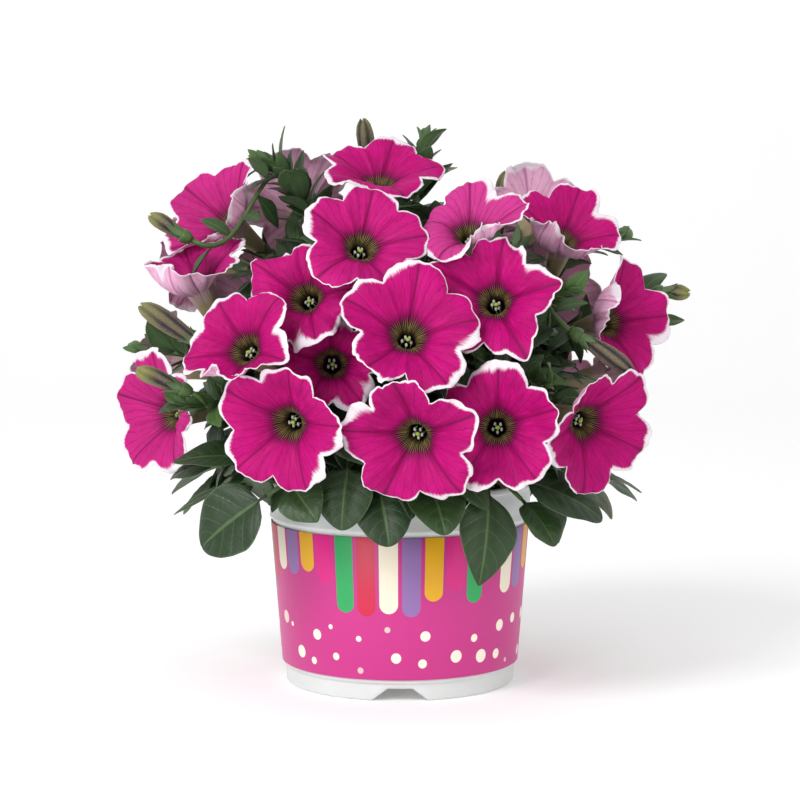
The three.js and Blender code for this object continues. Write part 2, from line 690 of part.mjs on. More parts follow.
// A blade that runs from its foot to its point, seen on its upper side from the direction `face`. Its
// centre line bends through `droop` degrees, and its halves rise from the midrib by the share `fold`.
function makeLeaf(from, to, face, { width, droop, fold }) {
  const half = (droop * RAD) / 2;
  const chord = to.clone().sub(from);
  const ahead = chord.clone().normalize();
  const side = ahead.clone().cross(face).normalize();
  const rise = side.clone().cross(ahead);
  const start = ahead.multiplyScalar(Math.cos(half)).addScaledVector(rise, Math.sin(half));
  const normal = side.clone().cross(start);
  const length = (chord.length() * half) / Math.sin(half);
  return { from, start, side, normal, length, width, droop, fold };
}

function leafNormal(leaf, u) {
  const angle = leaf.droop * u * RAD;
  const normal = leaf.normal.clone().multiplyScalar(Math.cos(angle));
  return normal.addScaledVector(leaf.start, Math.sin(angle));
}

// The point at share u along the blade and v, from -1 to 1, across it.
function leafPoint(leaf, u, v) {
  const full = leaf.droop * RAD;
  const half = leafHalfWidth(leaf, u);
  return leaf.from
    .clone()
    .addScaledVector(leaf.start, (leaf.length * Math.sin(full * u)) / full)
    .addScaledVector(leaf.normal, (leaf.length * (Math.cos(full * u) - 1)) / full)
    .addScaledVector(leaf.side, half * v)
    .addScaledVector(leafNormal(leaf, u), leaf.fold * half * Math.abs(v));
}

// An oval blade with a blunt point on a short narrow foot.
const LEAF_FOOT = 0.12;
const LEAF_FOOT_HALF_WIDTH = 0.8;
function leafHalfWidth(leaf, u) {
  const q = Math.min(1, Math.max(0, u - LEAF_FOOT) / (1 - LEAF_FOOT));
  const blade = Math.max(0, Math.sin(Math.PI * q ** 0.78)) ** 0.8;
  return LEAF_FOOT_HALF_WIDTH * (1 - u) + (leaf.width / 2) * blade;
}

// The three points of a stalk's section: left, right and keel.
const KEEL_ANGLES = [30, 150, 270];
function keelRing(origin, along, up, radius) {
  const frame = { origin, up, right: up.clone().cross(along), f: along };
  return KEEL_ANGLES.map((angle) => around(frame, radius, angle * RAD, 0));
}

// The blade as a solid from the share `begin` of its length, with `extra` added all round. It grows
// from the last of the stalk's rings, or from a foot ring of its own.
const SMALL_LEAF = 22;
const LEAF_FOOT_RADIUS = 0.95;
function leafSolid(leaf, begin, extra, stalk) {
  const wide = 1 + (2 * extra) / leaf.width;
  const at = (u, v, side) => {
    const lift = side * (LEAF_THICKNESS / 2 + extra);
    return leafPoint(leaf, u, v * wide).addScaledVector(leafNormal(leaf, u), lift);
  };
  const foot = keelRing(
    leafPoint(leaf, begin, 0),
    leaf.side.clone().cross(leafNormal(leaf, begin)).negate(),
    leafNormal(leaf, begin),
    LEAF_FOOT_RADIUS + extra,
  );
  const rings = [...(stalk ?? []), foot];
  const [left, right, keel] = foot;
  const stations = leaf.length < SMALL_LEAF ? [0.48] : [0.34, 0.7];
  const rows = stations.map((u) => [-1, 0, 1].map((v) => [at(u, v, 1), at(u, v, -1)]));
  const [[l, lb], [m, mb], [r, rb]] = rows[0];
  const faces = [
    [rings[0][0], rings[0][2], rings[0][1]],
    [left, right, m],
    [left, m, l],
    [right, r, m],
    [keel, lb, mb],
    [keel, mb, rb],
    [left, l, lb],
    [left, lb, keel],
    [right, rb, r],
    [right, keel, rb],
  ];
  for (let i = 0; i + 1 < rings.length; i++) faces.push(...stitch(rings[i], rings[i + 1]));
  const tip = [at(1 + extra / leaf.length, 0, 1), at(1 + extra / leaf.length, 0, -1)];
  rows.push([tip, tip, tip]);
  for (let i = 0; i + 1 < rows.length; i++) {
    const last = i + 2 === rows.length;
    for (const c of [0, 1]) {
      const [[a, ab], [b, bb]] = [rows[i][c], rows[i][c + 1]];
      const [[d, db], [e, eb]] = [rows[i + 1][c], rows[i + 1][c + 1]];
      faces.push([a, b, e], [eb, bb, ab]);
      if (!last) faces.push([a, e, d], [db, eb, ab]);
    }
    const [p, pb] = rows[i][0];
    const [q, qb] = rows[i + 1][0];
    faces.push([p, q, qb], [p, qb, pb]);
    const [s, sb] = rows[i][2];
    const [t, tb] = rows[i + 1][2];
    faces.push([s, tb, t], [s, sb, tb]);
  }
  return solidFrom(faces);
}

// What a leaf may do when it meets something: degrees to turn, degrees to rise, and its length.
const LEAF_POSES = [
  [0, 0, 1],
  [15, -8, 1],
  [-15, -8, 1],
  [0, -24, 0.95],
  [0, 20, 0.95],
  [32, 4, 0.9],
  [-32, 4, 0.9],
  [0, -45, 0.85],
  [24, 32, 0.8],
  [-24, 32, 0.8],
  [55, -20, 0.75],
  [-55, -20, 0.75],
  [0, 0, 0.62],
  [30, -35, 0.6],
  [-30, -35, 0.6],
  [0, 50, 0.6],
];

// The direction turned about the vertical, then raised towards it.
function turned(direction, [turn, rise]) {
  const aim = direction.clone().applyAxisAngle(UP, turn * RAD);
  return aim.applyAxisAngle(aim.clone().cross(UP).normalize(), rise * RAD);
}

// Leaf i of a stem: each stands a golden angle round from the last, large low down and small at the tip.
const GOLDEN_ANGLE = 137.5;
const LEAVES_PER_STEM = 7;
function stemLeaf(s, stem, i, pose) {
  const random = draws(1000 + s * 50 + i);
  const t = 0.14 + 0.86 * (i / (LEAVES_PER_STEM - 1)) ** 0.8;
  const round = i * GOLDEN_ANGLE + s * 61 + 24 * random();
  const length = between(random, 0.88, 1.1) * (50 - 34 * t ** 1.2) * pose[2];
  const width = length * (between(random, 0.62, 0.74) - 0.26 * t);
  const droop = between(random, 25, 60);
  const fold = between(random, 0.12, 0.34);
  const along = stem.curve.getTangent(t);
  const from = stem.curve.getPoint(t);
  const frame = frameAt(from, along);
  const spread = around({ ...frame, origin: new THREE.Vector3() }, 1, round * RAD, 0);
  const aim = spread.addScaledVector(along, 0.35 + 0.5 * t).add(new THREE.Vector3(0, 0, 0.25));
  const ahead = turned(aim.normalize(), pose);
  const face = along.multiplyScalar(0.7).addScaledVector(UP, 0.6);
  const to = from.clone().addScaledVector(ahead, length);
  return makeLeaf(from, to, face, { width, droop, fold });
}

function skirtLeaf(row, pose) {
  const from = roundPot(row.from);
  const chord = roundPot(row.to).sub(from);
  const length = chord.length() * pose[2];
  const to = from.clone().addScaledVector(turned(chord.normalize(), pose), length);
  return makeLeaf(from, to, heading(...row.face), { ...row, width: row.width * pose[2], fold: 0.16 });
}

// Side shoot: a thin stalk from low on a stem that runs on into the leaf that it carries.
const SHOOT_RADIUS = 1.5;
const SHOOT_STEPS = 3;
function shootRings(stem, t, leaf, extra) {
  const start = stem.curve.getPoint(t);
  const end = leaf.from;
  const reach = start.distanceTo(end);
  const away = stem.curve.getTangent(t).multiplyScalar(0.35 * reach).add(start);
  const into = end.clone().addScaledVector(leaf.start, -0.4 * reach);
  const curve = new THREE.CubicBezierCurve3(start, away, into, end);
  const radiusAt = (q) => SHOOT_RADIUS + (LEAF_FOOT_RADIUS - SHOOT_RADIUS) * q + extra;
  return stalkRings(curve, SHOOT_STEPS, radiusAt, leaf.normal, KEEL_ANGLES).slice(0, -1);
}

// Assembly

const pot = potSolid();
const label = labelSolid();
let soil = soilSolid();

const stems = STEM_TIPS.map((tip, i) => {
  const curve = stemCurve(onMound(tip));
  const name = `leafy_stem_${String(i + 1).padStart(2, "0")}`;
  return { name, rod: `${name} rod`, curve, parts: [stemSolid(curve, 0)] };
});

for (const stem of stems) soil = soil.subtract(stemSolid(stem.curve, SEAT_GAP));

place("pot", pot);
place("label", label);
place("soil", soil);
for (const stem of stems) place(stem.rod, stemSolid(stem.curve, CLEARANCE));

addNode("pot", "pot", geometryFrom(pot));
addNode("label", "label", geometryFrom(label));
addNode("soil", "soil", geometryFrom(wholeBody(soil)));

// The stems in order of how near they come to a point.
function nearestStems(point, shares) {
  const far = (stem) => Math.min(...shares.map((t) => stem.curve.getPoint(t).distanceTo(point)));
  return [...stems].sort((a, b) => far(a) - far(b)).slice(0, 8);
}

// Joins a flower's stalk and calyx to the first stem and place on it that leaves them clear.
const ATTACH_SHARES = [0.62, 0.72, 0.52, 0.82, 0.44, 0.36, 0.9, 0.28, 0.2];
const SLACKS = [1, 1.25, 0.8, 1.5, 0.6];
function attach({ frame, name, sepals }) {
  const end = around(frame, 0, 0, -4);
  for (const stem of nearestStems(end, [0.5, 0.65, 0.8])) {
    for (const t of ATTACH_SHARES) {
      for (const slack of SLACKS) {
        const curve = pedicelCurve(stem, t, end, frame.f, slack);
        const grown = calyxSolid(curve, frame, sepals, CLEARANCE);
        if (isClear(grown, stem.rod)) {
          stem.parts.push(calyxSolid(curve, frame, sepals, 0));
          place(stem.name, grown);
          return;
        }
      }
    }
  }
  throw new Error(`no clear stalk for ${name}`);
}

const flowers = [];

BLOOMS.forEach((row, i) => {
  const bloom = {
    ...row,
    name: `bloom_${String(i + 1).padStart(2, "0")}`,
    frame: frameAt(onMound(row.at), heading(...row.face)),
    form: bloomForm(i, row.pointed),
  };
  const poses = poseBloom(bloom);
  place(bloom.name, bloomSolid(bloom, poses, CLEARANCE / 2));
  addNode(bloom.name, "petal", geometryFrom(bloomSolid(bloom, poses, 0)));
  const base = around(bloom.frame, 0, 0, -TUBE_LENGTH);
  flowers.push({ frame: frameAt(base, bloom.frame.f), name: bloom.name, sepals: SEPAL_LENGTH });
});

BUDS.forEach((row, i) => {
  const base = onMound(row.base);
  const axis = onMound(row.tip).sub(base);
  const bud = { frame: frameAt(base, axis), length: axis.length(), width: row.width };
  const name = `bud_${i + 1}`;
  if (!isClear(budSolid(bud, CLEARANCE))) throw new Error(`${name} meets another piece`);
  place(name, budSolid(bud, CLEARANCE / 2));
  addNode(name, "bud", geometryFrom(budSolid(bud, 0)));
  flowers.push({ frame: bud.frame, name, sepals: BUD_SEPAL_LENGTH });
});

for (const flower of flowers) attach(flower);

// Grows a large lower leaf on its side shoot, in the first pose and from the first stem that leave
// both clear.
const SHOOT_SHARES = [0.2, 0.3, 0.12, 0.4, 0.5, 0.6];
function growSkirtLeaf(row) {
  for (const pose of LEAF_POSES) {
    const leaf = skirtLeaf(row, pose);
    if (!isClear(leafSolid(leaf, 0, CLEARANCE))) continue;
    for (const stem of nearestStems(leaf.from, [0.15, 0.3])) {
      for (const t of SHOOT_SHARES) {
        const grown = leafSolid(leaf, 0, CLEARANCE, shootRings(stem, t, leaf, CLEARANCE));
        if (!isClear(grown, stem.rod)) continue;
        stem.parts.push(leafSolid(leaf, 0, 0, shootRings(stem, t, leaf, 0)));
        place(stem.name, grown);
        return;
      }
    }
  }
  throw new Error(`no clear place for the lower leaf at ${row.from}`);
}

for (const row of SKIRT_LEAVES) growSkirtLeaf(row);

// Grows leaf i of stem s in the first pose that leaves it clear. A leaf with none is left out.
const FREE_FROM = 0.2; // the share of its length from which a leaf also clears its own stem
function growStemLeaf(s, stem, i) {
  for (const pose of LEAF_POSES) {
    const leaf = stemLeaf(s, stem, i, pose);
    const grown = leafSolid(leaf, 0, CLEARANCE);
    if (!isClear(grown, stem.name, stem.rod)) continue;
    if (!isClear(leafSolid(leaf, FREE_FROM, CLEARANCE))) continue;
    stem.parts.push(leafSolid(leaf, 0, 0));
    place(stem.name, grown);
    return;
  }
}

stems.forEach((stem, s) => {
  for (let i = 0; i < LEAVES_PER_STEM; i++) growStemLeaf(s, stem, i);
  const whole = stem.parts.reduce((sum, part) => sum.add(part));
  addNode(stem.name, "foliage", geometryFrom(wholeBody(whole)));
});

export default plant;
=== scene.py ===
import json
import math

import bpy
import numpy as np
from mathutils import Matrix, Vector
from mathutils.bvhtree import BVHTree
from mathutils.kdtree import KDTree

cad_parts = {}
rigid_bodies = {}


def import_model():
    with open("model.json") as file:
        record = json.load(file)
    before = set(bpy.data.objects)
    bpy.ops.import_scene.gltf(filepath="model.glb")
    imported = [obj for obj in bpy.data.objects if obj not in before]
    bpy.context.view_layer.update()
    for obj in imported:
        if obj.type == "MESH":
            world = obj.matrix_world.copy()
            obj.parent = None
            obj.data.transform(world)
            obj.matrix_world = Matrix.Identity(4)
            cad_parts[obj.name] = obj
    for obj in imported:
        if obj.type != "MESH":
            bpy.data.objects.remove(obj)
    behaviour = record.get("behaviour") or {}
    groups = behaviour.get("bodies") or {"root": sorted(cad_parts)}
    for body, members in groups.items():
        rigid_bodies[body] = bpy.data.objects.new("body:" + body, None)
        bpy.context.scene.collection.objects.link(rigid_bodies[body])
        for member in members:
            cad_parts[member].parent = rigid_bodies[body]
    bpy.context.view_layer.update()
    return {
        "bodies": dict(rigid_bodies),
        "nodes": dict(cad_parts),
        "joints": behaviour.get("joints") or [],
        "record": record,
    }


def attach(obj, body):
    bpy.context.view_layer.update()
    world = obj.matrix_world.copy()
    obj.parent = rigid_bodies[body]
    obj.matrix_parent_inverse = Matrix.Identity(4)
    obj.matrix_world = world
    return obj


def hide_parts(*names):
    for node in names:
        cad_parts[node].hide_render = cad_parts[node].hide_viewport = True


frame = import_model()

# Pot
# A 12 cm nursery pot, injection moulded in white polypropylene: a plain rim band over a label seat,
# and a foot ring with three drain notches and three holes just inside them.

RIM_RADIUS = 60
FOOT_RADIUS = 52
FOOT_INNER_RADIUS = 48.5
FOOT_HEIGHT = 9.4
POT_WALL = 1.2
POT_COLUMNS = 360
FLOOR_UNDERSIDE = 6
FLOOR_TOP = 7.5
SEAT_TOP = 73.4
SEAT_LOW_RADIUS = 52.7
SEAT_WIDENS = 5
NOTCH_HEIGHT = 5.7
NOTCH_HALF_WIDE = 12.8
NOTCH_HALF_NARROW = 5.5
DRAIN_HOLE_RADIUS = 4
DRAIN_HOLE_FROM_AXIS = 40
DRILL_LOW = 4
DRILL_HIGH = 10


def linear(hex_colour):
    """The linear light values of an sRGB hex colour."""
    parts = [int(hex_colour[i : i + 2], 16) / 255 for i in (1, 3, 5)]
    light = [c / 12.92 if c <= 0.04045 else ((c + 0.055) / 1.055) ** 2.4 for c in parts]
    return (*light, 1.0)


def add_node(tree, kind, inputs=None, **settings):
    """Adds a shader node with its settings. Each input, by its name or number, is set to a value, or
    linked to an output or to the first output that a node has in use."""
    node = tree.nodes.new("ShaderNode" + kind)
    for key, value in settings.items():
        setattr(node, key, value)
    for key, value in (inputs or {}).items():
        if isinstance(value, bpy.types.Node):
            value = next(output for output in value.outputs if output.enabled)
        if isinstance(value, bpy.types.NodeSocket):
            tree.links.new(value, node.inputs[key])
        else:
            node.inputs[key].default_value = value
    return node


def start_material(name):
    """An empty node material, with its tree."""
    material = bpy.data.materials.new(name)
    material.use_nodes = True
    material.node_tree.nodes.clear()
    return material, material.node_tree


def skin(rings, start=None, end=None, **values):
    """One closed part from rings of points that run anticlockwise round their way forward, joined in
    order by four-cornered faces, with a point at each end. Each value is one for the whole part, one
    for each ring, or a table with a row for each ring or for all."""
    count, columns = rings.shape[:2]
    points = rings.reshape(-1, 3)
    ring = np.arange(columns)
    row = np.arange(count - 1)[:, None] * columns
    here = row + ring
    beside = row + np.roll(ring, -1)
    faces = [np.stack([here, beside, beside + columns, here + columns], -1).reshape(-1, 4)]
    values = {
        key: np.broadcast_to(v if np.ndim(v) == 2 else np.reshape(v, (-1, 1)), (count, columns)).ravel()
        for key, v in values.items()
    }
    for pole, first, flipped in ((start, 0, True), (end, (count - 1) * columns, False)):
        if pole is None:
            continue
        order = [np.roll(ring, -1), ring] if flipped else [ring, np.roll(ring, -1)]
        faces.append(np.stack([order[0] + first, order[1] + first, np.full(columns, len(points))], -1))
        points = np.concatenate([points, [pole]])
        values = {key: np.append(v, v[first : first + columns].mean()) for key, v in values.items()}
    return {"points": points, "faces": faces, "values": values}


def build_piece(name, parts, material, replaced=()):
    """Joins parts in one smooth piece, each with points in mm, faces and a value for each point,
    that rides with the pot."""
    points = np.concatenate([p["points"] for p in parts]) / 1000
    starts = np.cumsum([0] + [len(p["points"]) for p in parts[:-1]])
    faces = []
    for start, part in zip(starts, parts):
        for corners in part["faces"]:
            faces.extend((corners + start).tolist())
    mesh = bpy.data.meshes.new(name)
    mesh.from_pydata(points.tolist(), [], faces)
    mesh.polygons.foreach_set("use_smooth", np.ones(len(faces), bool))
    for key in parts[0]["values"]:
        values = np.concatenate([p["values"][key] for p in parts]).astype(np.float32)
        mesh.attributes.new(key, "FLOAT", "POINT").data.foreach_set("value", values)
    mesh.materials.append(material)
    mesh.validate()
    piece = bpy.data.objects.new(name, mesh)
    bpy.context.scene.collection.objects.link(piece)
    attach(piece, "root")
    if replaced:
        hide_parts(*replaced)
    return piece


def turn_profile(profile, columns):
    """Rings of points from a profile of radius and height turned round the axis, and their angles.
    The angle runs from the viewer's side towards the viewer's right."""
    angle = np.arange(columns) / columns * 2 * np.pi
    r, z = np.array(profile, float).T[:, :, None]
    return np.stack(np.broadcast_arrays(r * np.sin(angle), -r * np.cos(angle), z), -1), angle


def seat_radius(z):
    """The label seat's radius at a height: a straight cone from the foot to the rim band."""
    return SEAT_LOW_RADIUS + SEAT_WIDENS * (z - FOOT_HEIGHT) / (SEAT_TOP - FOOT_HEIGHT)


def notch_height(angle):
    """How high a drain notch cuts into the foot ring at an angle round the pot: a flat top with
    slanted sides, three times round."""
    nearest = (angle + np.pi / 3) % (2 * np.pi / 3) - np.pi / 3
    across = np.abs(FOOT_RADIUS * np.sin(nearest))
    side = (NOTCH_HALF_WIDE - across) / (NOTCH_HALF_WIDE - NOTCH_HALF_NARROW)
    return NOTCH_HEIGHT * np.clip(side, 0, 1)


# Radius and height, from the floor's underside out over the foot ring, up the seat, over the rim band
# and down the inside to the floor's upper side.
pot_profile = [
    (20, FLOOR_UNDERSIDE), (36, FLOOR_UNDERSIDE), (44, FLOOR_UNDERSIDE), (48.2, FLOOR_UNDERSIDE),
    (48.6, 5.8), (48.7, 5.2), (48.75, 3), (48.8, 0.3), (49, 0), (50.6, 0), (51.2, 0.2), (51.6, 0.7),
    (51.8, 1.4), (51.9, 4), (51.75, 7), (51.7, 7.5), (52.2, 7.9), (52.95, 8.4), (53, 8.9), (52.9, 9.3),
    (52.7, 9.6), (seat_radius(11), 11), (seat_radius(40), 40), (seat_radius(70), 70), (57.6, 72.8),
    (57.75, 73.3), (58.2, 74.2), (58.9, 74.9), (59.15, 75.4), (59.1, 76.2), (58.85, 77), (58.9, 80),
    (59.1, 86), (59.2, 88.6), (59.45, 89.1), (59.9, 89.5), (60, 90), (60, 91.4), (59.8, 91.9),
    (59.4, 92), (58.5, 92), (58.15, 91.8), (58.05, 91.2), (57.6, 84), (57.2, 78), (56.6, 73),
    (seat_radius(60) - POT_WALL, 60), (seat_radius(30) - POT_WALL, 30), (51.4, 10), (50.6, 8),
    (49.6, FLOOR_TOP), (40, FLOOR_TOP), (20, FLOOR_TOP),
]
pot_rings, pot_angle = turn_profile(pot_profile, POT_COLUMNS)
in_foot_ring = np.hypot(pot_rings[..., 0], pot_rings[..., 1]) > FOOT_INNER_RADIUS
pot_rings[..., 2] = np.maximum(pot_rings[..., 2], np.where(in_foot_ring, notch_height(pot_angle), 0))
pot_part = skin(pot_rings, (0, 0, FLOOR_UNDERSIDE), (0, 0, FLOOR_TOP))

# Injection-moulded polypropylene: satin white with a faint orange-peel from the mould and a little
# dust of peat near the rim.
moulded_polypropylene, tree = start_material("moulded_white_polypropylene")
place = add_node(tree, "TexCoord").outputs["Object"]
mould_grain = add_node(tree, "TexNoise", {"Vector": place, "Scale": 900.0, "Detail": 3.0})
cloudy = add_node(tree, "TexNoise", {"Vector": place, "Scale": 38.0, "Detail": 4.0})
tone = add_node(tree, "Mix", {0: cloudy, 6: linear("#CBCBCA"), 7: linear("#DCDCDA")}, data_type="RGBA")
height = add_node(tree, "SeparateXYZ", {0: place}).outputs["Z"]
near_rim = add_node(tree, "MapRange", {"Value": height, "From Min": 0.088, "From Max": 0.0925, "To Max": 0.5})
specks = add_node(tree, "TexNoise", {"Vector": place, "Scale": 420.0, "Detail": 6.0})
crumbs_on_rim = add_node(tree, "MapRange", {"Value": specks, "From Min": 0.62, "From Max": 0.7})
dust = add_node(tree, "Math", {0: near_rim, 1: crumbs_on_rim}, operation="MULTIPLY")
dusty = add_node(tree, "Mix", {0: dust, 6: tone, 7: linear("#8A7763")}, data_type="RGBA")
grain_bump = add_node(tree, "Bump", {"Height": mould_grain, "Strength": 0.12, "Distance": 0.0002})
plastic = add_node(
    tree,
    "BsdfPrincipled",
    {"Base Color": dusty, "Roughness": 0.34, "IOR": 1.49, "Subsurface Weight": 0.08, "Normal": grain_bump},
)
add_node(tree, "OutputMaterial", {"Surface": plastic})

pot = build_piece("nursery_pot", [pot_part], moulded_polypropylene, ["pot"])

# The three drain holes are cut through the floor.
hole_parts = []
for third in range(3):
    way = third * 2 * np.pi / 3
    drill = turn_profile([(DRAIN_HOLE_RADIUS, DRILL_LOW), (DRAIN_HOLE_RADIUS, DRILL_HIGH)], 32)[0]
    drill = drill + DRAIN_HOLE_FROM_AXIS * np.array([np.sin(way), -np.cos(way), 0])
    middle = drill[0].mean(0)
    hole_parts.append(skin(drill, middle, middle + [0, 0, DRILL_HIGH - DRILL_LOW]))
drills = build_piece("drills", hole_parts, moulded_polypropylene)
cut = pot.modifiers.new("drain_holes", "BOOLEAN")
cut.operation = "DIFFERENCE"
cut.object = drills
holed = bpy.data.meshes.new_from_object(pot.evaluated_get(bpy.context.evaluated_depsgraph_get()))
pot.modifiers.clear()
pot.data = holed
bpy.data.objects.remove(drills)

# Label
# A coated card band, printed and wrapped round the pot in its seat: ribbons of staggered lengths
# hang from its top edge over a pink ground that is scattered with cream dots.

LABEL_LOW = 9.7
LABEL_TOP = 73
LABEL_GAP = 0.3
LABEL_THICKNESS = 0.6
LABEL_COLUMNS = 256
LABEL_MIDDLE = 40
LABEL_MIDDLE_WIDENS = 2.4
RIBBONS = 36
RIBBON_PITCH = 9.9  # 36 of them fill the 357 mm round the label's upper part
RIBBON_HALF_WIDTH = 4.1
RIBBON_LONGEST_END = 39.0
RIBBON_SHORTEST_END = 60.0
DOT_CELL = 13.2  # mm from one dot to the next
DOTS_A_RIBBON = 0.75
INK_EDGE_BLUR = 0.06
INKS = ["#8E6AA8", "#E3A90F", "#D61880", "#21A358", "#CA1241", "#EFE4CE"]

label_low_radius = seat_radius(LABEL_LOW) + LABEL_GAP
label_high_radius = seat_radius(LABEL_TOP) + LABEL_GAP
label_profile = [
    (label_low_radius, LABEL_LOW),
    (label_low_radius + LABEL_THICKNESS - 0.1, LABEL_LOW),
    (label_low_radius + LABEL_THICKNESS, LABEL_LOW + 0.15),
    (label_low_radius + LABEL_THICKNESS + LABEL_MIDDLE_WIDENS, LABEL_MIDDLE),
    (label_high_radius + LABEL_THICKNESS, LABEL_TOP - 0.15),
    (label_high_radius + LABEL_THICKNESS - 0.1, LABEL_TOP),
    (label_high_radius, LABEL_TOP),
    (label_low_radius + LABEL_MIDDLE_WIDENS, LABEL_MIDDLE),
    (label_low_radius, LABEL_LOW),
]
label_part = skin(turn_profile(label_profile, LABEL_COLUMNS)[0])

# Printed, coated card: flat bright inks under a satin varnish, with a faint tooth in the paper.
coated_card, tree = start_material("printed_coated_card")
place = add_node(tree, "TexCoord").outputs["Object"]
axes = add_node(tree, "SeparateXYZ", {0: place})
toward_viewer = add_node(tree, "Math", {0: axes.outputs["Y"], 1: -1.0}, operation="MULTIPLY")
angle = add_node(tree, "Math", {0: axes.outputs["X"], 1: toward_viewer}, operation="ARCTAN2")
# Ribbons are counted round the pot, and each one's number draws its length and colour.
ribbons_a_radian = RIBBONS / (2 * np.pi)
turns = add_node(tree, "Math", {0: angle, 1: ribbons_a_radian, 2: RIBBONS / 2}, operation="MULTIPLY_ADD")
number = add_node(tree, "Math", {0: turns}, operation="FLOOR")
within = add_node(tree, "Math", {0: turns}, operation="FRACT")
across_mm = add_node(
    tree, "Math", {0: within, 1: RIBBON_PITCH, 2: -RIBBON_PITCH / 2}, operation="MULTIPLY_ADD"
)
seeded = add_node(tree, "Math", {0: number, 1: 7.31}, operation="ADD")
drawn_length = add_node(tree, "TexWhiteNoise", {"W": seeded}, noise_dimensions="1D")
ribbon_end = add_node(
    tree, "MapRange", {"Value": drawn_length, "To Min": RIBBON_SHORTEST_END, "To Max": RIBBON_LONGEST_END}
)
height_mm = add_node(tree, "Math", {0: axes.outputs["Z"], 1: 1000.0}, operation="MULTIPLY")
below_end = add_node(tree, "Math", {0: ribbon_end, 1: height_mm}, operation="SUBTRACT")
below = add_node(tree, "Math", {0: below_end, 1: 0.0}, operation="MAXIMUM")
offset = add_node(tree, "CombineXYZ", {"X": across_mm, "Y": below})
from_ribbon = add_node(tree, "VectorMath", {0: offset}, operation="LENGTH")
on_ribbon = add_node(
    tree,
    "MapRange",
    {
        "Value": from_ribbon,
        "From Min": RIBBON_HALF_WIDTH + INK_EDGE_BLUR,
        "From Max": RIBBON_HALF_WIDTH - INK_EDGE_BLUR,
    },
)
ink_share = 1 / len(INKS)
sixth = add_node(tree, "Math", {0: number, 1: ink_share}, operation="MULTIPLY")
cycle = add_node(tree, "Math", {0: sixth}, operation="FRACT")
inks = add_node(tree, "ValToRGB", {"Fac": cycle})
inks.color_ramp.interpolation = "CONSTANT"
for step, ink in enumerate(INKS):
    position = max(0, step * ink_share - 0.04)
    if step > 1:
        inks.color_ramp.elements.new(position)
    inks.color_ramp.elements[step].position = position
    inks.color_ramp.elements[step].color = linear(ink)

# Cream dots, one in most cells of a grid on the label's lower part, as large as its cell draws.
cell_round = add_node(tree, "Math", {0: turns, 1: DOTS_A_RIBBON}, operation="MULTIPLY")
cell_up = add_node(tree, "Math", {0: height_mm, 1: 1 / DOT_CELL}, operation="MULTIPLY")
cell = add_node(tree, "CombineXYZ", {"X": cell_round, "Y": cell_up})
dots = add_node(
    tree, "TexVoronoi", {"Vector": cell, "Scale": 1.0, "Randomness": 0.62}, voronoi_dimensions="2D"
)
dot_draw = add_node(tree, "SeparateColor", {0: dots.outputs["Color"]})
dot_radius = add_node(tree, "MapRange", {"Value": dot_draw, "To Min": 0.08, "To Max": 0.24})
inside_dot = add_node(tree, "Math", {0: dots.outputs["Distance"], 1: dot_radius}, operation="SUBTRACT")
on_dot = add_node(tree, "MapRange", {"Value": inside_dot, "From Min": 0.006, "From Max": -0.006})
dot_place = add_node(tree, "SeparateXYZ", {0: dots.outputs["Position"]})
low_dot = add_node(tree, "MapRange", {"Value": dot_place.outputs["Y"], "From Min": 2.46, "From Max": 2.44})
high_dot = add_node(tree, "MapRange", {"Value": dot_place.outputs["Y"], "From Min": 1.02, "From Max": 1.04})
in_band = add_node(tree, "Math", {0: low_dot, 1: high_dot}, operation="MULTIPLY")
kept_dot = add_node(tree, "Math", {0: on_dot, 1: in_band}, operation="MULTIPLY")
ground = add_node(tree, "Mix", {0: kept_dot, 6: linear("#C32882"), 7: linear("#F7EDDA")}, data_type="RGBA")
print_colour = add_node(tree, "Mix", {0: on_ribbon, 6: ground, 7: inks}, data_type="RGBA")
paper_tooth = add_node(tree, "TexNoise", {"Vector": place, "Scale": 1500.0, "Detail": 2.0})
tooth_bump = add_node(tree, "Bump", {"Height": paper_tooth, "Strength": 0.06, "Distance": 0.0002})
card = add_node(
    tree,
    "BsdfPrincipled",
    {
        "Base Color": print_colour,
        "Roughness": 0.42,
        "IOR": 1.5,
        "Coat Weight": 0.05,
        "Coat Roughness": 0.3,
        "Normal": tooth_bump,
    },
)
add_node(tree, "OutputMaterial", {"Surface": card})

build_piece("wrap_label", [label_part], coated_card, ["label"])

# Soil
# Moist dark peat that fills the pot to a little under its rim: a lumpy, fibrous heap with loose
# crumbs and a few white grains of perlite on top.

SOIL_TOP = 82
SOIL_LOW = FLOOR_TOP + 0.3
SOIL_MOUND = 4
SOIL_RINGS = 46
SOIL_COLUMNS = 180
CRUMBS = 620
CRUMBS_REACH = 54
PERLITE_SHARE = 0.12


def soil_height(x, y):
    """The heap's height: a low dome over the pot's middle with slow swells, and fine lumps from
    crossed waves of about 9, 5 and 2.5 mm."""
    r = np.hypot(x, y) / RIM_RADIUS
    swells = np.sin(x * 0.21 + 1) * np.cos(y * 0.17) + np.sin((x - y) * 0.13)
    lumps = 0.5 * np.sin(x * 0.7 + 2 * np.sin(y * 0.31)) * np.cos(y * 0.63 + np.sin(x * 0.4))
    crumbs = 0.28 * np.sin(x * 1.27 + 1.7 * np.sin(y * 0.9)) * np.sin(y * 1.31 + 1.3 * np.sin(x * 1.1))
    grit = 0.14 * np.sin(x * 2.6 + 2 * np.sin(y * 1.7)) * np.sin(y * 2.4 + 2 * np.sin(x * 1.9))
    return SOIL_TOP + SOIL_MOUND * (1 - r * r) + 0.5 * swells + lumps + crumbs + grit


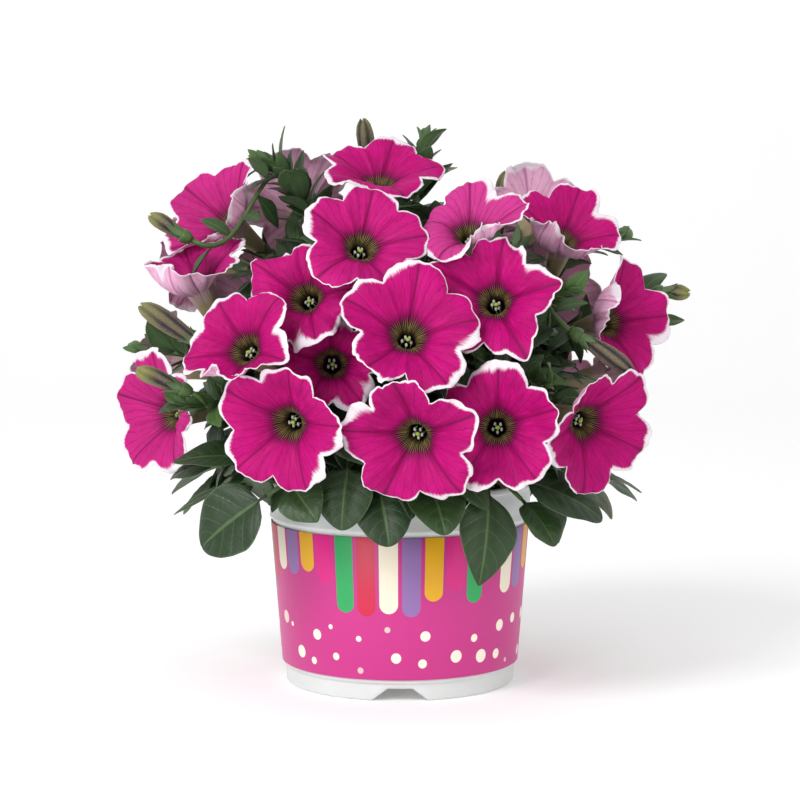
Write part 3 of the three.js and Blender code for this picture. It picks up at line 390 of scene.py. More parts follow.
soil_radii = np.concatenate([[50.2, 55.4], np.linspace(55.9, 1.2, SOIL_RINGS)])
soil_angle = np.arange(SOIL_COLUMNS) / SOIL_COLUMNS * 2 * np.pi
soil_x = soil_radii[:, None] * np.cos(soil_angle)
soil_y = soil_radii[:, None] * np.sin(soil_angle)
soil_z = soil_height(soil_x, soil_y)
soil_z[0] = SOIL_LOW
soil_z[1] = SOIL_TOP - 2.4
soil_rings = np.stack([soil_x, soil_y, soil_z], -1)
soil_parts = [skin(soil_rings, (0, 0, SOIL_LOW), (0, 0, float(soil_height(0, 0))), white=0.0)]

# A loose crumb is a small ball of 9 by 7 faces, squashed and turned as it is drawn.
up = np.linspace(-1, 1, 8)[1:-1, None] * np.pi / 2
turn = np.arange(9) / 9 * 2 * np.pi
ball = np.stack(np.broadcast_arrays(np.cos(up) * np.cos(turn), np.cos(up) * np.sin(turn), np.sin(up)), -1)
draw = np.random.default_rng(11)
for _ in range(CRUMBS):
    away = CRUMBS_REACH * math.sqrt(draw.random())
    toward = draw.random() * 2 * math.pi
    x, y = away * math.cos(toward), away * math.sin(toward)
    is_white = draw.random() < PERLITE_SHARE
    size = draw.uniform(0.5, 1.5) if is_white else draw.uniform(0.5, 1.9)
    squash = draw.uniform(0.55, 1.2, 3)
    bumpy = 1 + 0.18 * draw.standard_normal(ball.shape[:2])[..., None]
    spin = np.array(Matrix.Rotation(draw.random() * 6.3, 3, Vector(draw.standard_normal(3))))
    middle = np.array([x, y, float(soil_height(x, y)) + 0.35 * size])
    turned_ball = (ball * bumpy * squash * size) @ spin.T
    poles = (np.array([[0, 0, -1], [0, 0, 1]]) * squash * size) @ spin.T
    soil_parts.append(
        skin(turned_ball + middle, poles[0] + middle, poles[1] + middle, white=float(is_white))
    )

# Moist peat: nearly black brown, broken by paler fibres, rough, with wet glints on its lumps.
moist_peat, tree = start_material("moist_fibrous_peat")
place = add_node(tree, "TexCoord").outputs["Object"]
clods = add_node(tree, "TexNoise", {"Vector": place, "Scale": 260.0, "Detail": 8.0, "Roughness": 0.7})
fibres = add_node(tree, "TexNoise", {"Vector": place, "Scale": 900.0, "Detail": 4.0, "Distortion": 2.5})
peat_tone = add_node(tree, "Mix", {0: clods, 6: linear("#1C120C"), 7: linear("#4F3826")}, data_type="RGBA")
fibre_mask = add_node(tree, "MapRange", {"Value": fibres, "From Min": 0.6, "From Max": 0.7, "To Max": 0.6})
peat_fibre = add_node(tree, "Mix", {0: fibre_mask, 6: peat_tone, 7: linear("#7A5B3C")}, data_type="RGBA")
white = add_node(tree, "Attribute", attribute_name="white").outputs["Fac"]
peat_colour = add_node(tree, "Mix", {0: white, 6: peat_fibre, 7: linear("#D9D5CC")}, data_type="RGBA")
peat_bump = add_node(tree, "Bump", {"Height": clods, "Strength": 0.8, "Distance": 0.001})
peat = add_node(tree, "BsdfPrincipled", {"Base Color": peat_colour, "Roughness": 0.85, "Normal": peat_bump})
add_node(tree, "OutputMaterial", {"Surface": peat})

build_piece("peat", soil_parts, moist_peat, ["soil"])

# Corollas
# Each petunia bloom is one trumpet of five joined petals, soft and about half a millimetre thick. A
# magenta limb with a white edge flares from a dark throat; its back is pale mauve with purple veins.

DOME_CENTRE = np.array([0, 0, 118.0])
DOME_RADII = np.array([100, 92, 110.0])
BLOOM_RADIUS = 28
THROAT_RADIUS = 4.6
LIMB_DEPTH = 12
CURL_FROM = 0.3
TUBE_LENGTH = 27
NOTCH_DEPTH = 0.22
NOTCH_SPAN = 0.5
PETAL_COLUMNS = 32
LIMB_ROWS = 23
PETAL_THICKNESS = 0.5
FAR_FROM_RIM = 9.0

# The tube's radius and its depth below the throat, up its outside and then down its inside.
TUBE_OUTSIDE = [(2.3, -26.7), (2.6, -25), (3.2, -20.5), (3.9, -15), (4.8, -9), (5.7, -4)]
TUBE_INSIDE = [(4.25, -1.3), (3.9, -3.6), (3.5, -8), (3, -15), (2.2, -20)]

# Places on the mound, as degrees round it from the viewer, degrees up and share of its radii, then the
# way the throat looks, where the first petal points, the size, how far each petal is folded forward,
# how pointed the petals are, and how pale the bloom is.
BLOOMS = [
    ((2, 23, 1), (7, 28), 8, 1.05, (0, 0, 0, 18, 0), 0.04, 0.0),
    ((4, 2, 1), (-16, -14), 25, 1, (0, 20, 0, 0, 0), 0.08, 0.0),
    ((-27, 4, 1), (-22, -6), 5, 1, (0, 12, 0, 0, 0), 0.04, 0.0),
    ((24, 3, 1), (0, 6), 18, 1, (16, 0, 20, 0, 0), 0.04, 0.0),
    ((-38, 18, 1.09), (-30, 26), -15, 0.9, (0, 0, 0, 0, 30), 0.04, 0.0),
    ((51, 3, 1), (34, -8), -25, 1, (0, 0, 35, 10, 0), 0.04, 0.0),
    ((28, 31, 1), (-10, 24), 12, 0.94, (0, -10, 0, -10, 0), 0.2, 0.0),
    ((-14, 46, 1), (12, 32), 3, 0.92, (0, 0, 0, 0, 10), 0.04, 0.1),
    ((-30, 34, 0.94), (-19, 28), 8, 0.96, (0, 0, 0, 0, 0), 0.04, 0.0),
    ((-22, 20, 0.82), (0, 8), 20, 0.8, (0, 0, 0, 0, 0), 0.04, 0.0),
    ((80, 24, 1.01), (38, 12), 0, 0.94, (0, 0, 70, 25, 0), 0.04, 0.0),
    ((27, 49, 1.01), (0, 50), 18, 0.9, (0, 0, 0, 30, 75), 0.04, 0.75),
    ((85, 45, 1.02), (12, 44), -7, 0.92, (0, 0, 0, 70, 40), 0.04, 0.0),
    ((-84, 2, 1.01), (-52, 2), 20, 1, (0, 0, 15, 0, 0), 0.04, 0.25),
    ((-80, 31, 1.05), (-48, 58), 0, 0.92, (0, 0, 0, 50, 70), 0.04, 0.2),
    ((-98, 46, 1.1), (-42, 30), 10, 1.02, (50, 0, 0, 0, 50), 0.04, 0.35),
    ((-70, 84, 0.96), (4, 66), 0, 0.95, (0, 0, 0, 0, 0), 0.04, 0.0),
    ((114, 50, 1.03), (160, 22), 10, 0.94, (0, 0, 0, 0, 0), 0.04, 0.3),
    ((-126, 57, 1.02), (-160, 28), -8, 0.94, (0, 0, 0, 0, 0), 0.04, 0.0),
    ((-119, 32, 1.2), (-128, 6), 0, 0.88, (0, 0, 0, 0, 0), 0.04, 0.5),
    ((-112, 10, 1.12), (-116, 8), 14, 0.86, (0, 0, 0, 0, 0), 0.04, 0.45),
    ((112, 8, 1), (108, 4), 4, 0.98, (0, 0, 0, 0, 0), 0.04, 0.0),
    ((142, 2, 1.04), (140, -6), 20, 1, (0, 0, 0, 0, 0), 0.04, 0.0),
    ((174, 5, 1.06), (172, 0), -10, 1, (0, 0, 0, 0, 0), 0.04, 0.0),
    ((-146, 6, 1.04), (-148, 0), 12, 1, (0, 0, 0, 0, 0), 0.04, 0.0),
    ((128, 29, 1), (126, 22), -14, 0.96, (0, 0, 0, 0, 0), 0.04, 0.0),
    ((162, 28, 1.05), (162, 22), 6, 1, (0, 0, 0, 0, 0), 0.04, 0.0),
    ((-164, 36, 1), (-166, 32), 18, 0.96, (0, 0, 0, 0, 0), 0.04, 0.0),
    ((-134, 27, 1), (-134, 24), 0, 0.94, (0, 0, 0, 0, 0), 0.04, 0.0),
]

# Degrees that a petal is folded forward, or back below 0, and its length, where it gives way to a
# neighbour.
PETAL_POSES = [
    (0, 1), (-12, 1), (-24, 1), (-36, 1), (-50, 1), (-65, 0.95), (14, 1), (28, 1), (-30, 0.8),
    (-60, 0.8), (0, 0.75), (-90, 0.8), (-50, 0.6), (0, 0.55), (-95, 0.55), (-50, 0.42), (0, 0.38),
    (-110, 0.36), (0, 0.28),
]


def draws(seed, count):
    """Numbers from 0 to 1, the same on every run: each state is 48271 times the last, modulo
    2^31 - 1."""
    state = seed * 7919 + 17
    values = []
    for _ in range(count + 3):
        state = state * 48271 % 2147483647
        values.append(state / 2147483647)
    return np.array(values[3:])


def unit(vectors):
    """Vectors brought to length one."""
    return vectors / np.linalg.norm(vectors, axis=-1, keepdims=True)


def heading(azimuth, elevation):
    """The direction at an azimuth, 0 towards the viewer and 90 to the viewer's right, and elevation."""
    a, e = math.radians(azimuth), math.radians(elevation)
    return np.array([math.sin(a) * math.cos(e), -math.cos(a) * math.cos(e), math.sin(e)])


def on_mound(place):
    """A point on the plant's dome from degrees round, degrees up and share of the radii."""
    azimuth, elevation, share = place
    return heading(azimuth, elevation) * DOME_RADII * share + DOME_CENTRE


def frame_at(origin, forward, up=(0, 0, 1)):
    """A turned frame: its origin, right, up and forward as rows. Up is made square to forward."""
    forward = unit(np.asarray(forward, float))
    up = np.asarray(up, float)
    up = unit(up - forward * (up @ forward))
    return np.stack([origin, np.cross(up, forward), up, forward])


def around(frame, r, theta, w):
    """Points at radius r and angle theta in degrees round a frame's axis, w along it."""
    r, theta, w = np.broadcast_arrays(r, np.radians(theta), w)
    local = np.stack([r * np.cos(theta), r * np.sin(theta), w], -1)
    return frame[0] + local @ frame[1:]


def per_petal(values, petal, u):
    """A value for each petal read at u, from -1 to 1 across a petal, eased to half way between two
    petals at their notch."""
    share = np.abs(u)
    share = share * share * (3 - 2 * share) / 2
    beside = (petal + np.where(u < 0, 4, 1)) % 5
    return values[petal] * (1 - share) + values[beside] * share


def across_petal(theta):
    """The petal at an angle in degrees, and u from -1 to 1 across it."""
    turn = (theta + 36) % 360
    petal = np.floor(turn / 72).astype(int) % 5
    return petal, (turn - 72 * petal) / 36 - 1


def limb_reach(bloom, theta):
    """The flat radius of the limb's margin: the petal's length, less a V-shaped notch with soft sides
    at each end, plus a small bell-shaped point at its midrib."""
    petal, u = across_petal(theta)
    length = per_petal(bloom["lengths"], petal, u)
    notch = NOTCH_DEPTH * np.clip(1 - (1 - np.abs(u)) / NOTCH_SPAN, 0, 1) ** 1.7
    point = bloom["pointed"] * np.exp(-((u / 0.2) ** 2))
    return BLOOM_RADIUS * bloom["size"] * length * (1 - notch + point)


def limb(bloom, theta, s):
    """Radius and height of the limb at an angle and a share s from throat to margin. It flares by
    1 - (1 - s)^1.8, ruffles by sin squared at each half petal, and past CURL_FROM it is turned in its
    own section by the petal's curl."""
    petal, u = across_petal(theta)
    length = per_petal(bloom["lengths"], petal, u)
    reach = limb_reach(bloom, theta)
    half = petal * 2 + (u >= 0)
    ruffle = bloom["ruffles"][half] * np.sin(np.pi * np.abs(u)) ** 2

    def flare(q):
        depth = LIMB_DEPTH * bloom["size"] * (1 - (1 - q) ** 1.8) * np.minimum(1, length)
        return THROAT_RADIUS + (reach - THROAT_RADIUS) * q, depth + ruffle * q * q

    r, w = flare(s)
    r0, w0 = flare(CURL_FROM)
    curled = np.clip((s - CURL_FROM) / (1 - CURL_FROM), 0, 1)
    bend = np.radians(per_petal(bloom["bends"], petal, u)) * curled
    c, d = np.cos(bend), np.sin(bend)
    curled_r = r0 + (r - r0) * c - (w - w0) * d
    curled_w = w0 + (r - r0) * d + (w - w0) * c
    return np.where(s > CURL_FROM, curled_r, r), np.where(s > CURL_FROM, curled_w, w)


def node_points(name):
    """A CAD node's vertices in mm."""
    mesh = frame["nodes"][name].data
    points = np.empty(len(mesh.vertices) * 3, np.float32)
    mesh.vertices.foreach_get("co", points)
    return points.reshape(-1, 3).astype(float) * 1000


def closest(choices, gap_of, digits):
    """The first choice with the smallest gap, rounded to so many digits, and that gap."""
    gaps = [round(float(gap_of(choice)), digits) for choice in choices]
    return choices[gaps.index(min(gaps))], min(gaps)


def read_bloom(index, row):
    """A bloom's numbers. Each petal's pose is the one whose cusp falls on a vertex of the CAD node."""
    place, face, roll, size, curl, pointed, pale = row
    numbers = draws(100 + index, 15)
    bloom = {
        "name": f"bloom_{index + 1:02d}",
        "frame": frame_at(on_mound(place), heading(*face)),
        "roll": roll,
        "size": size,
        "pointed": pointed,
        "pale": pale,
        "ruffles": -0.6 + 4 * numbers[5:],
        "lengths": np.zeros(5),
        "bends": np.zeros(5),
    }
    vertices = node_points(bloom["name"])

    def set_pose(petal, pose):
        bloom["bends"][petal] = pose[0] + curl[petal]
        bloom["lengths"][petal] = (0.93 + 0.14 * numbers[petal]) * pose[1]

    def cusp_gap(petal, pose):
        set_pose(petal, pose)
        r, w = limb(bloom, np.array(72.0 * petal), np.array(1.0))
        return np.linalg.norm(vertices - around(bloom["frame"], r, 72 * petal + roll, w), axis=1).min()

    for petal in range(5):
        set_pose(petal, closest(PETAL_POSES, lambda pose: cusp_gap(petal, pose), 2)[0])
    return bloom


def flat_margin_distance(bloom, theta, s):
    """The distance in mm from each point of the flat limb to the nearest point of its margin."""
    fine = np.arange(0, 360, 0.75)
    margin = limb_reach(bloom, fine) * np.exp(1j * np.radians(fine))
    reach = limb_reach(bloom, theta)
    flat = (THROAT_RADIUS + (reach - THROAT_RADIUS) * s) * np.exp(1j * np.radians(theta))
    return np.abs(flat[..., None] - margin).min(-1)


def surface_normals(points):
    """Unit normals of a grid of points, closed across its columns: down the rows crossed with round
    the columns."""
    outward = np.gradient(points, axis=0)
    sideways = np.roll(points, -1, 1) - np.roll(points, 1, 1)
    return unit(np.cross(outward, sideways))


def corolla_part(bloom, seed):
    """The trumpet as one closed skin: up the outside of the tube, out along the back of the limb, over
    the margin, in along its front and down the inside of the tube."""
    random = np.random.default_rng(seed)
    theta = np.arange(5 * PETAL_COLUMNS) * 72 / PETAL_COLUMNS
    s = np.linspace(0, 1, LIMB_ROWS)[:, None]
    petal, u = across_petal(theta)
    away = np.abs(u)
    between = np.sin(np.pi * away)
    r, w = limb(bloom, theta, s)

    # The margin is frilled: waves of 7 to 41 round the bloom grow towards it.
    turn = np.radians(theta)
    phases = random.random(8) * 2 * np.pi
    coarse = np.sin(11 * turn + phases[0]) + 0.8 * np.sin(7 * turn + phases[1])
    fine = np.sin(29 * turn + phases[2]) + 0.8 * np.sin(41 * turn + phases[3])
    lift = 0.6 * coarse * s**3 + 0.27 * fine * s**7
    # Each half petal's edge is rolled back or forward by its own amount, and each petal sways.
    rolls = random.uniform(-3.4, 1.6, 10)
    sways = random.uniform(-2.8, 2.2, 5)
    lift = lift + rolls[petal * 2 + (u >= 0)] * between**1.5 * s**5
    lift = lift + sways[petal] * np.cos(np.pi * u / 2) ** 2 * s**2
    # A groove along each midrib, soft pleats beside it, and shallow quilting between its side veins.
    groove = -0.75 * np.exp(-((u / 0.085) ** 2)) * np.sin(np.pi * s**0.8) ** 0.7
    pleat = 0.32 * np.sin(5.2 * np.pi * away + phases[4]) * s * (1 - 0.6 * s)
    quilt = 0.1 * np.sin(34 * s + 9 * away + phases[5]) * between * np.sin(np.pi * s)
    edge_roll = -0.9 * s**9 * (1 + 0.6 * np.sin(7 * turn + phases[6]))
    ragged = 0.012 * np.sin(17 * turn + phases[7]) + 0.006 * np.sin(43 * turn + phases[4])
    r = r * (1 + s**5 * ragged)
    front = around(bloom["frame"], r, theta + bloom["roll"], w)
    front = front + surface_normals(front) * (lift + groove + pleat + quilt + edge_roll)[..., None]
    thickness = PETAL_THICKNESS * (1 - 0.45 * s**2)
    back = front - surface_normals(front) * thickness[..., None]
    edge = (front[-1] + back[-1]) / 2 + unit(front[-1] - front[-2]) * 0.16

    fold = 1 + 0.05 * np.cos(5 * turn)
    outer = [around(bloom["frame"], a * fold, theta + bloom["roll"], b) for a, b in TUBE_OUTSIDE]
    inner = [around(bloom["frame"], a / fold, theta + bloom["roll"], b) for a, b in TUBE_INSIDE]
    rings = np.concatenate([outer, back[2:], edge[None], front[::-1], inner])

    # The white edge is a hairline in places and over 3 mm wide in others.
    swell = (
        1.1 * np.sin(2 * turn + phases[5])
        + np.sin(3 * turn + phases[6])
        + 0.8 * np.sin(7 * turn + phases[0])
        + 0.3 * np.sin(16 * turn + phases[2])
    )
    width = random.uniform(0.95, 1.4) * np.exp(0.5 * swell) * (0.55 + 0.45 * between)
    rim = flat_margin_distance(bloom, theta, s) / width
    far = np.full(len(theta), FAR_FROM_RIM)
    down = [np.array(tube)[:, 1] / 10 for tube in (TUBE_OUTSIDE, TUBE_INSIDE)]
    under = np.zeros(len(rings))
    under[: len(outer) + LIMB_ROWS - 2] = 1
    return skin(
        rings,
        around(bloom["frame"], 0, 0, -TUBE_LENGTH),
        around(bloom["frame"], 0, 0, -21),
        rim=np.concatenate([[far] * len(outer), rim[2:], [far * 0], rim[::-1], [far] * len(inner)]),
        across=away[None],
        along=np.concatenate([down[0], s[2:, 0], [1], s[::-1, 0], down[1]]),
        under=under,
        pale=bloom["pale"],
    )


# Petal: velvety magenta with lighter streaks of painted highlight, darkening along the veins and towards the
# near-black throat, where olive lines run in, with painted shade deep down the tube; a ragged white edge; a
# dull mauve back. Light glows through it a little.
petal_tissue, tree = start_material("velvety_petal_tissue")
place = add_node(tree, "TexCoord").outputs["Object"]
across, along, rim, under, pale = [
    add_node(tree, "Attribute", attribute_name=key).outputs["Fac"]
    for key in ("across", "along", "rim", "under", "pale")
]
blotches = add_node(tree, "TexNoise", {"Vector": place, "Scale": 90.0, "Detail": 4.0})
fine_grain = add_node(tree, "TexNoise", {"Vector": place, "Scale": 700.0, "Detail": 3.0})
magenta = add_node(tree, "Mix", {0: blotches, 6: linear("#84004B"), 7: linear("#C6007A")}, data_type="RGBA")
# Lighter pink streaks run from the throat to the edge: painted highlights where light catches the petal's
# ridges.
streak_at = add_node(tree, "CombineXYZ", {0: across, 1: along})
stretched = add_node(tree, "VectorMath", {0: streak_at, 1: (13, 1.8, 0), 2: place}, operation="MULTIPLY_ADD")
streaks = add_node(tree, "TexNoise", {"Vector": stretched, "Scale": 2.6, "Detail": 2.0})
highlight_streak_mask = add_node(tree, "MapRange", {"Value": streaks, "From Min": 0.5, "From Max": 0.75, "To Max": 0.4})
# Side veins fan out from the throat and lean away from the midrib.
wander = add_node(tree, "Math", {0: blotches, 1: 2.2, 2: fine_grain}, operation="MULTIPLY_ADD")
lean = add_node(tree, "Math", {0: along, 1: -1.6, 2: wander}, operation="MULTIPLY_ADD")
vein_count = add_node(tree, "Math", {0: across, 1: 7.5, 2: lean}, operation="MULTIPLY_ADD")
vein_wave = add_node(tree, "Math", {0: vein_count, 1: 1.0}, operation="PINGPONG")
side_vein = add_node(
    tree,
    "MapRange",
    {"Value": vein_wave, "From Min": 0.2, "From Max": 0.0, "To Max": 0.5},
    interpolation_type="SMOOTHSTEP",
)
midrib = add_node(
    tree,
    "MapRange",
    {"Value": across, "From Min": 0.075, "From Max": 0.0, "To Max": 0.8},
    interpolation_type="SMOOTHSTEP",
)
veins = add_node(tree, "Math", {0: side_vein, 1: midrib}, operation="MAXIMUM")
halo_at = add_node(tree, "Math", {0: streaks, 1: 0.5, 2: along}, operation="MULTIPLY_ADD")
halo_mask = add_node(
    tree,
    "MapRange",
    {"Value": halo_at, "From Min": 0.6, "From Max": 0.38, "To Max": 0.6},
    interpolation_type="SMOOTHSTEP",
)
# Over the magenta lie its painted highlight streaks, a faded bloom's pink, the veins and the halo round the
# throat.
petal_face = magenta
for share, ink in ((highlight_streak_mask, "#D01E8C"), (pale, "#BE3A88"), (veins, "#6A0340"), (halo_mask, "#5A0238")):
    petal_face = add_node(tree, "Mix", {0: share, 6: petal_face, 7: linear(ink)}, data_type="RGBA")
# Broken olive lines run down the dark throat, and their tips reach out into the halo.
line_count = add_node(tree, "Math", {0: fine_grain, 1: 0.05, 2: across}, operation="MULTIPLY_ADD")
throat_lines = add_node(tree, "Math", {0: line_count, 1: 0.1}, operation="PINGPONG")
olive = add_node(tree, "MapRange", {"Value": throat_lines, "From Min": 0.05, "From Max": 0.09, "To Max": 0.9})
broken = add_node(tree, "MapRange", {"Value": streaks, "From Min": 0.3, "From Max": 0.55})
broken_lines = add_node(tree, "Math", {0: olive, 1: broken}, operation="MULTIPLY")
throat_colour = add_node(
    tree, "Mix", {0: broken_lines, 6: linear("#16070C"), 7: linear("#A89C58")}, data_type="RGBA"
)
line_tips = add_node(tree, "Math", {0: throat_lines, 1: 0.9, 2: along}, operation="MULTIPLY_ADD")
feathered = add_node(tree, "Math", {0: streaks, 1: 0.22, 2: line_tips}, operation="MULTIPLY_ADD")
throat_mask = add_node(
    tree,
    "MapRange",
    {"Value": feathered, "From Min": 0.35, "From Max": 0.22},
    interpolation_type="SMOOTHSTEP",
)
throated = add_node(tree, "Mix", {0: throat_mask, 6: petal_face, 7: throat_colour}, data_type="RGBA")
# Down the inside of the tube the colour turns nearly black with depth: painted shade of the deep, narrow tube
# over the throat's own dark colour.
tube_shade_mask = add_node(tree, "MapRange", {"Value": along, "From Min": -0.05, "From Max": -0.5})
shaded_tube_throat = add_node(tree, "Mix", {0: tube_shade_mask, 6: throated, 7: linear("#0B0406")}, data_type="RGBA")
# The back is mauve between purple veins, and turns olive down the tube.
back_tone = add_node(tree, "Mix", {0: veins, 6: linear("#D8A5C2"), 7: linear("#A1608A")}, data_type="RGBA")
tube_at = add_node(tree, "Math", {0: blotches, 1: 0.5, 2: along}, operation="MULTIPLY_ADD")
tube_mask = add_node(tree, "MapRange", {"Value": tube_at, "From Min": 0.75, "From Max": -0.3, "To Max": 0.9})
back_to_tube = add_node(tree, "Mix", {0: tube_mask, 6: back_tone, 7: linear("#8F8A60")}, data_type="RGBA")
both_sides = add_node(tree, "Mix", {0: under, 6: shaded_tube_throat, 7: back_to_tube}, data_type="RGBA")
ragged_rim = add_node(tree, "Math", {0: streaks, 1: 0.95, 2: rim}, operation="MULTIPLY_ADD")
white_edge = add_node(
    tree,
    "MapRange",
    {"Value": ragged_rim, "From Min": 1.85, "From Max": 1.15},
    interpolation_type="SMOOTHSTEP",
)
petal_colour = add_node(tree, "Mix", {0: white_edge, 6: both_sides, 7: linear("#E2D7DF")}, data_type="RGBA")
vein_relief = add_node(tree, "Math", {0: veins, 1: -1.0, 2: fine_grain}, operation="MULTIPLY_ADD")
petal_bump = add_node(tree, "Bump", {"Height": vein_relief, "Strength": 0.35, "Distance": 0.0004})
petal_shader = add_node(
    tree,
    "BsdfPrincipled",
    {
        "Base Color": petal_colour,
        "Roughness": 0.6,
        "Sheen Weight": 0.06,
        "Sheen Roughness": 0.4,
        "Sheen Tint": linear("#E85AAE"),
        "Subsurface Weight": 0.12,
        "Subsurface Radius": (0.9, 0.25, 0.5),
        "Subsurface Scale": 0.0012,
        "Specular IOR Level": 0.14,
        "Normal": petal_bump,
    },
)
add_node(tree, "OutputMaterial", {"Surface": petal_shader})

blooms = [read_bloom(index, row) for index, row in enumerate(BLOOMS)]
for index, bloom in enumerate(blooms):
    corolla = corolla_part(bloom, 200 + index)
    build_piece(f"corolla_{index + 1:02d}", [corolla], petal_tissue, [bloom["name"]])

# Stamens and stigmas
# Five pale anthers stand round a yellow-green stigma in the mouth of each throat, on thin filaments
# that are joined to the tube.

ANTHER_AXES = np.array([[0.62], [0.9], [0.5]])
STIGMA_AXES = np.array([[1.1], [0.9], [0.6]])
FILAMENT_RADIUS = 0.22

# Anthers and stigma: dry powdery pollen sacs in pale grey, and a moist green stigma.
pollen, tree = start_material("powdery_anther")
place = add_node(tree, "TexCoord").outputs["Object"]
green = add_node(tree, "Attribute", attribute_name="green").outputs["Fac"]
powder = add_node(tree, "TexNoise", {"Vector": place, "Scale": 2500.0, "Detail": 2.0})
anther_tone = add_node(tree, "Mix", {0: powder, 6: linear("#84877A"), 7: linear("#C3C6B4")}, data_type="RGBA")
organ_colour = add_node(tree, "Mix", {0: green, 6: anther_tone, 7: linear("#8FA33C")}, data_type="RGBA")
powder_bump = add_node(tree, "Bump", {"Height": powder, "Strength": 0.5, "Distance": 0.0002})
organ = add_node(
    tree, "BsdfPrincipled", {"Base Color": organ_colour, "Roughness": 0.7, "Normal": powder_bump}
)
add_node(tree, "OutputMaterial", {"Surface": organ})


def ball_part(middle, axes, **values):
    """A small ball stretched to three axes, given as rows in mm."""
    return skin(ball @ axes + middle, middle - axes[2], middle + axes[2], **values)


draw = np.random.default_rng(31)
organ_parts = []
for bloom in blooms:
    for petal in range(5):
        turn = 72 * petal + 36 + bloom["roll"] + draw.uniform(-12, 12)
        depth = draw.uniform(-2.6, -1)
        middle = around(bloom["frame"], draw.uniform(1.5, 2.1), turn, depth)
        organ_parts.append(ball_part(middle, bloom["frame"][1:] * ANTHER_AXES, green=0))
        foot = around(bloom["frame"], 2.4, turn, -12.0)
        stalk = frame_at(foot, middle - foot, bloom["frame"][1])
        levels = np.array([0, np.linalg.norm(middle - foot)])[:, None]
        thread = around(stalk, FILAMENT_RADIUS, np.arange(5) * 72.0, levels)
        organ_parts.append(skin(thread, foot, middle, green=[0.5, 0.2]))
    tip = around(bloom["frame"], 0.2, 0, -0.6)
    organ_parts.append(ball_part(tip, bloom["frame"][1:] * STIGMA_AXES, green=1))
build_piece("stamens_and_stigmas", organ_parts, pollen)

# Buds
# Furled petunia buds: five petals pleated and twisted round each other into a soft spindle, purple
# and brown on their pleats with yellow-green tips; each stands in its calyx.

# Places of the base and the tip on the mound, the width in mm, and how green the tip is.
BUDS = [
    ((-160, 70, 1.05), (-151, 74, 1.28), 8.5, 0.2),
    ((-58, 19, 1.08), (-66, 22, 1.32), 9.5, 0.55),
    ((-54, 9, 1.16), (-58, 11, 1.34), 8, 0.95),
    ((-78, 38, 1.24), (-80, 37, 1.4), 7.5, 0.8),
    ((92, 24, 1.29), (90, 22, 1.4), 7.5, 0.9),
    ((49, 21, 1.08), (54, 12, 1.24), 8.5, 0.0),
    ((140, 48, 1.08), (142, 51, 1.3), 8.5, 0.6),
    ((-157, 16, 1.08), (-155, 20, 1.3), 9, 0.5),
    ((-139, 44, 1.12), (-137, 47, 1.32), 7.5, 0.9),
]
BUD_SWELL = [(0, 0.46), (0.2, 0.68), (0.42, 0.88), (0.6, 0.98), (0.78, 0.95), (0.93, 0.72), (1.0, 0.3)]
BUD_TWIST = 50
BUD_COLUMNS = 60
BUD_ROWS = 22


def bud_part(bud, seed):
    """A spindle whose radius follows the swell of its profile, less five folds, and whose section is
    turned in proportion to its length. Its mouth is ragged."""
    random = np.random.default_rng(seed)
    theta = np.arange(BUD_COLUMNS) * 360 / BUD_COLUMNS
    turn = np.radians(theta)
    share = np.linspace(0, 1, BUD_ROWS)[:, None]
    crest = np.abs(np.cos(turn * 2.5 + 0.5 * share)) ** 0.7
    r = bud["width"] / 2 * np.interp(share, *zip(*BUD_SWELL)) * (0.68 + 0.34 * crest)
    r = r * (1 + 0.03 * np.sin(19 * turn + 6 * share + random.random() * 6))
    w = share * bud["length"] + share**6 * np.sin(5 * turn + 1.3) * 0.9
    rings = around(bud["frame"], r, theta + share * BUD_TWIST, w)
    end = around(bud["frame"], 0, 0, bud["length"] * 0.965)
    green = np.clip((share - 0.55) / 0.45, 0, 1) * bud["green"]
    return skin(rings, bud["frame"][0], end, crest=crest, green=green)


# Bud skin: dull purple-brown petal backs, olive-yellow on their crests and tips, finely downy.
bud_skin, tree = start_material("downy_bud_skin")
place = add_node(tree, "TexCoord").outputs["Object"]
crest = add_node(tree, "Attribute", attribute_name="crest").outputs["Fac"]
green = add_node(tree, "Attribute", attribute_name="green").outputs["Fac"]
down = add_node(tree, "TexNoise", {"Vector": place, "Scale": 1400.0, "Detail": 3.0})
streaks = add_node(tree, "Math", {0: down, 1: 0.9, 2: crest}, operation="MULTIPLY_ADD")
crest_mask = add_node(tree, "MapRange", {"Value": streaks, "From Min": 0.95, "From Max": 1.5})
furled = add_node(tree, "Mix", {0: crest_mask, 6: linear("#241724"), 7: linear("#6B6046")}, data_type="RGBA")
tipped = add_node(tree, "Mix", {0: green, 6: furled, 7: linear("#7F8040")}, data_type="RGBA")
down_bump = add_node(tree, "Bump", {"Height": down, "Strength": 0.3, "Distance": 0.0003})
bud_shader = add_node(
    tree,
    "BsdfPrincipled",
    {"Base Color": tipped, "Roughness": 0.75, "Sheen Weight": 0.15, "Normal": down_bump},
)
add_node(tree, "OutputMaterial", {"Surface": bud_shader})

buds = []
for index, (base, tip, width, green_share) in enumerate(BUDS):
    foot = on_mound(base)
    axis = on_mound(tip) - foot
    length = float(np.linalg.norm(axis))
    bud = {"frame": frame_at(foot, axis), "length": length, "width": width, "green": green_share}
    buds.append(bud)
    furled_bud = bud_part(bud, 70 + index)
    build_piece(f"furled_bud_{index + 1}", [furled_bud], bud_skin, [f"bud_{index + 1}"])

# Leafy stems
# Twelve downy green stems rise from the peat and arch outwards. Soft oval leaves stand round them on
# short feet, and thin stalks carry the blooms and buds, each held in a calyx of five narrow sepals.

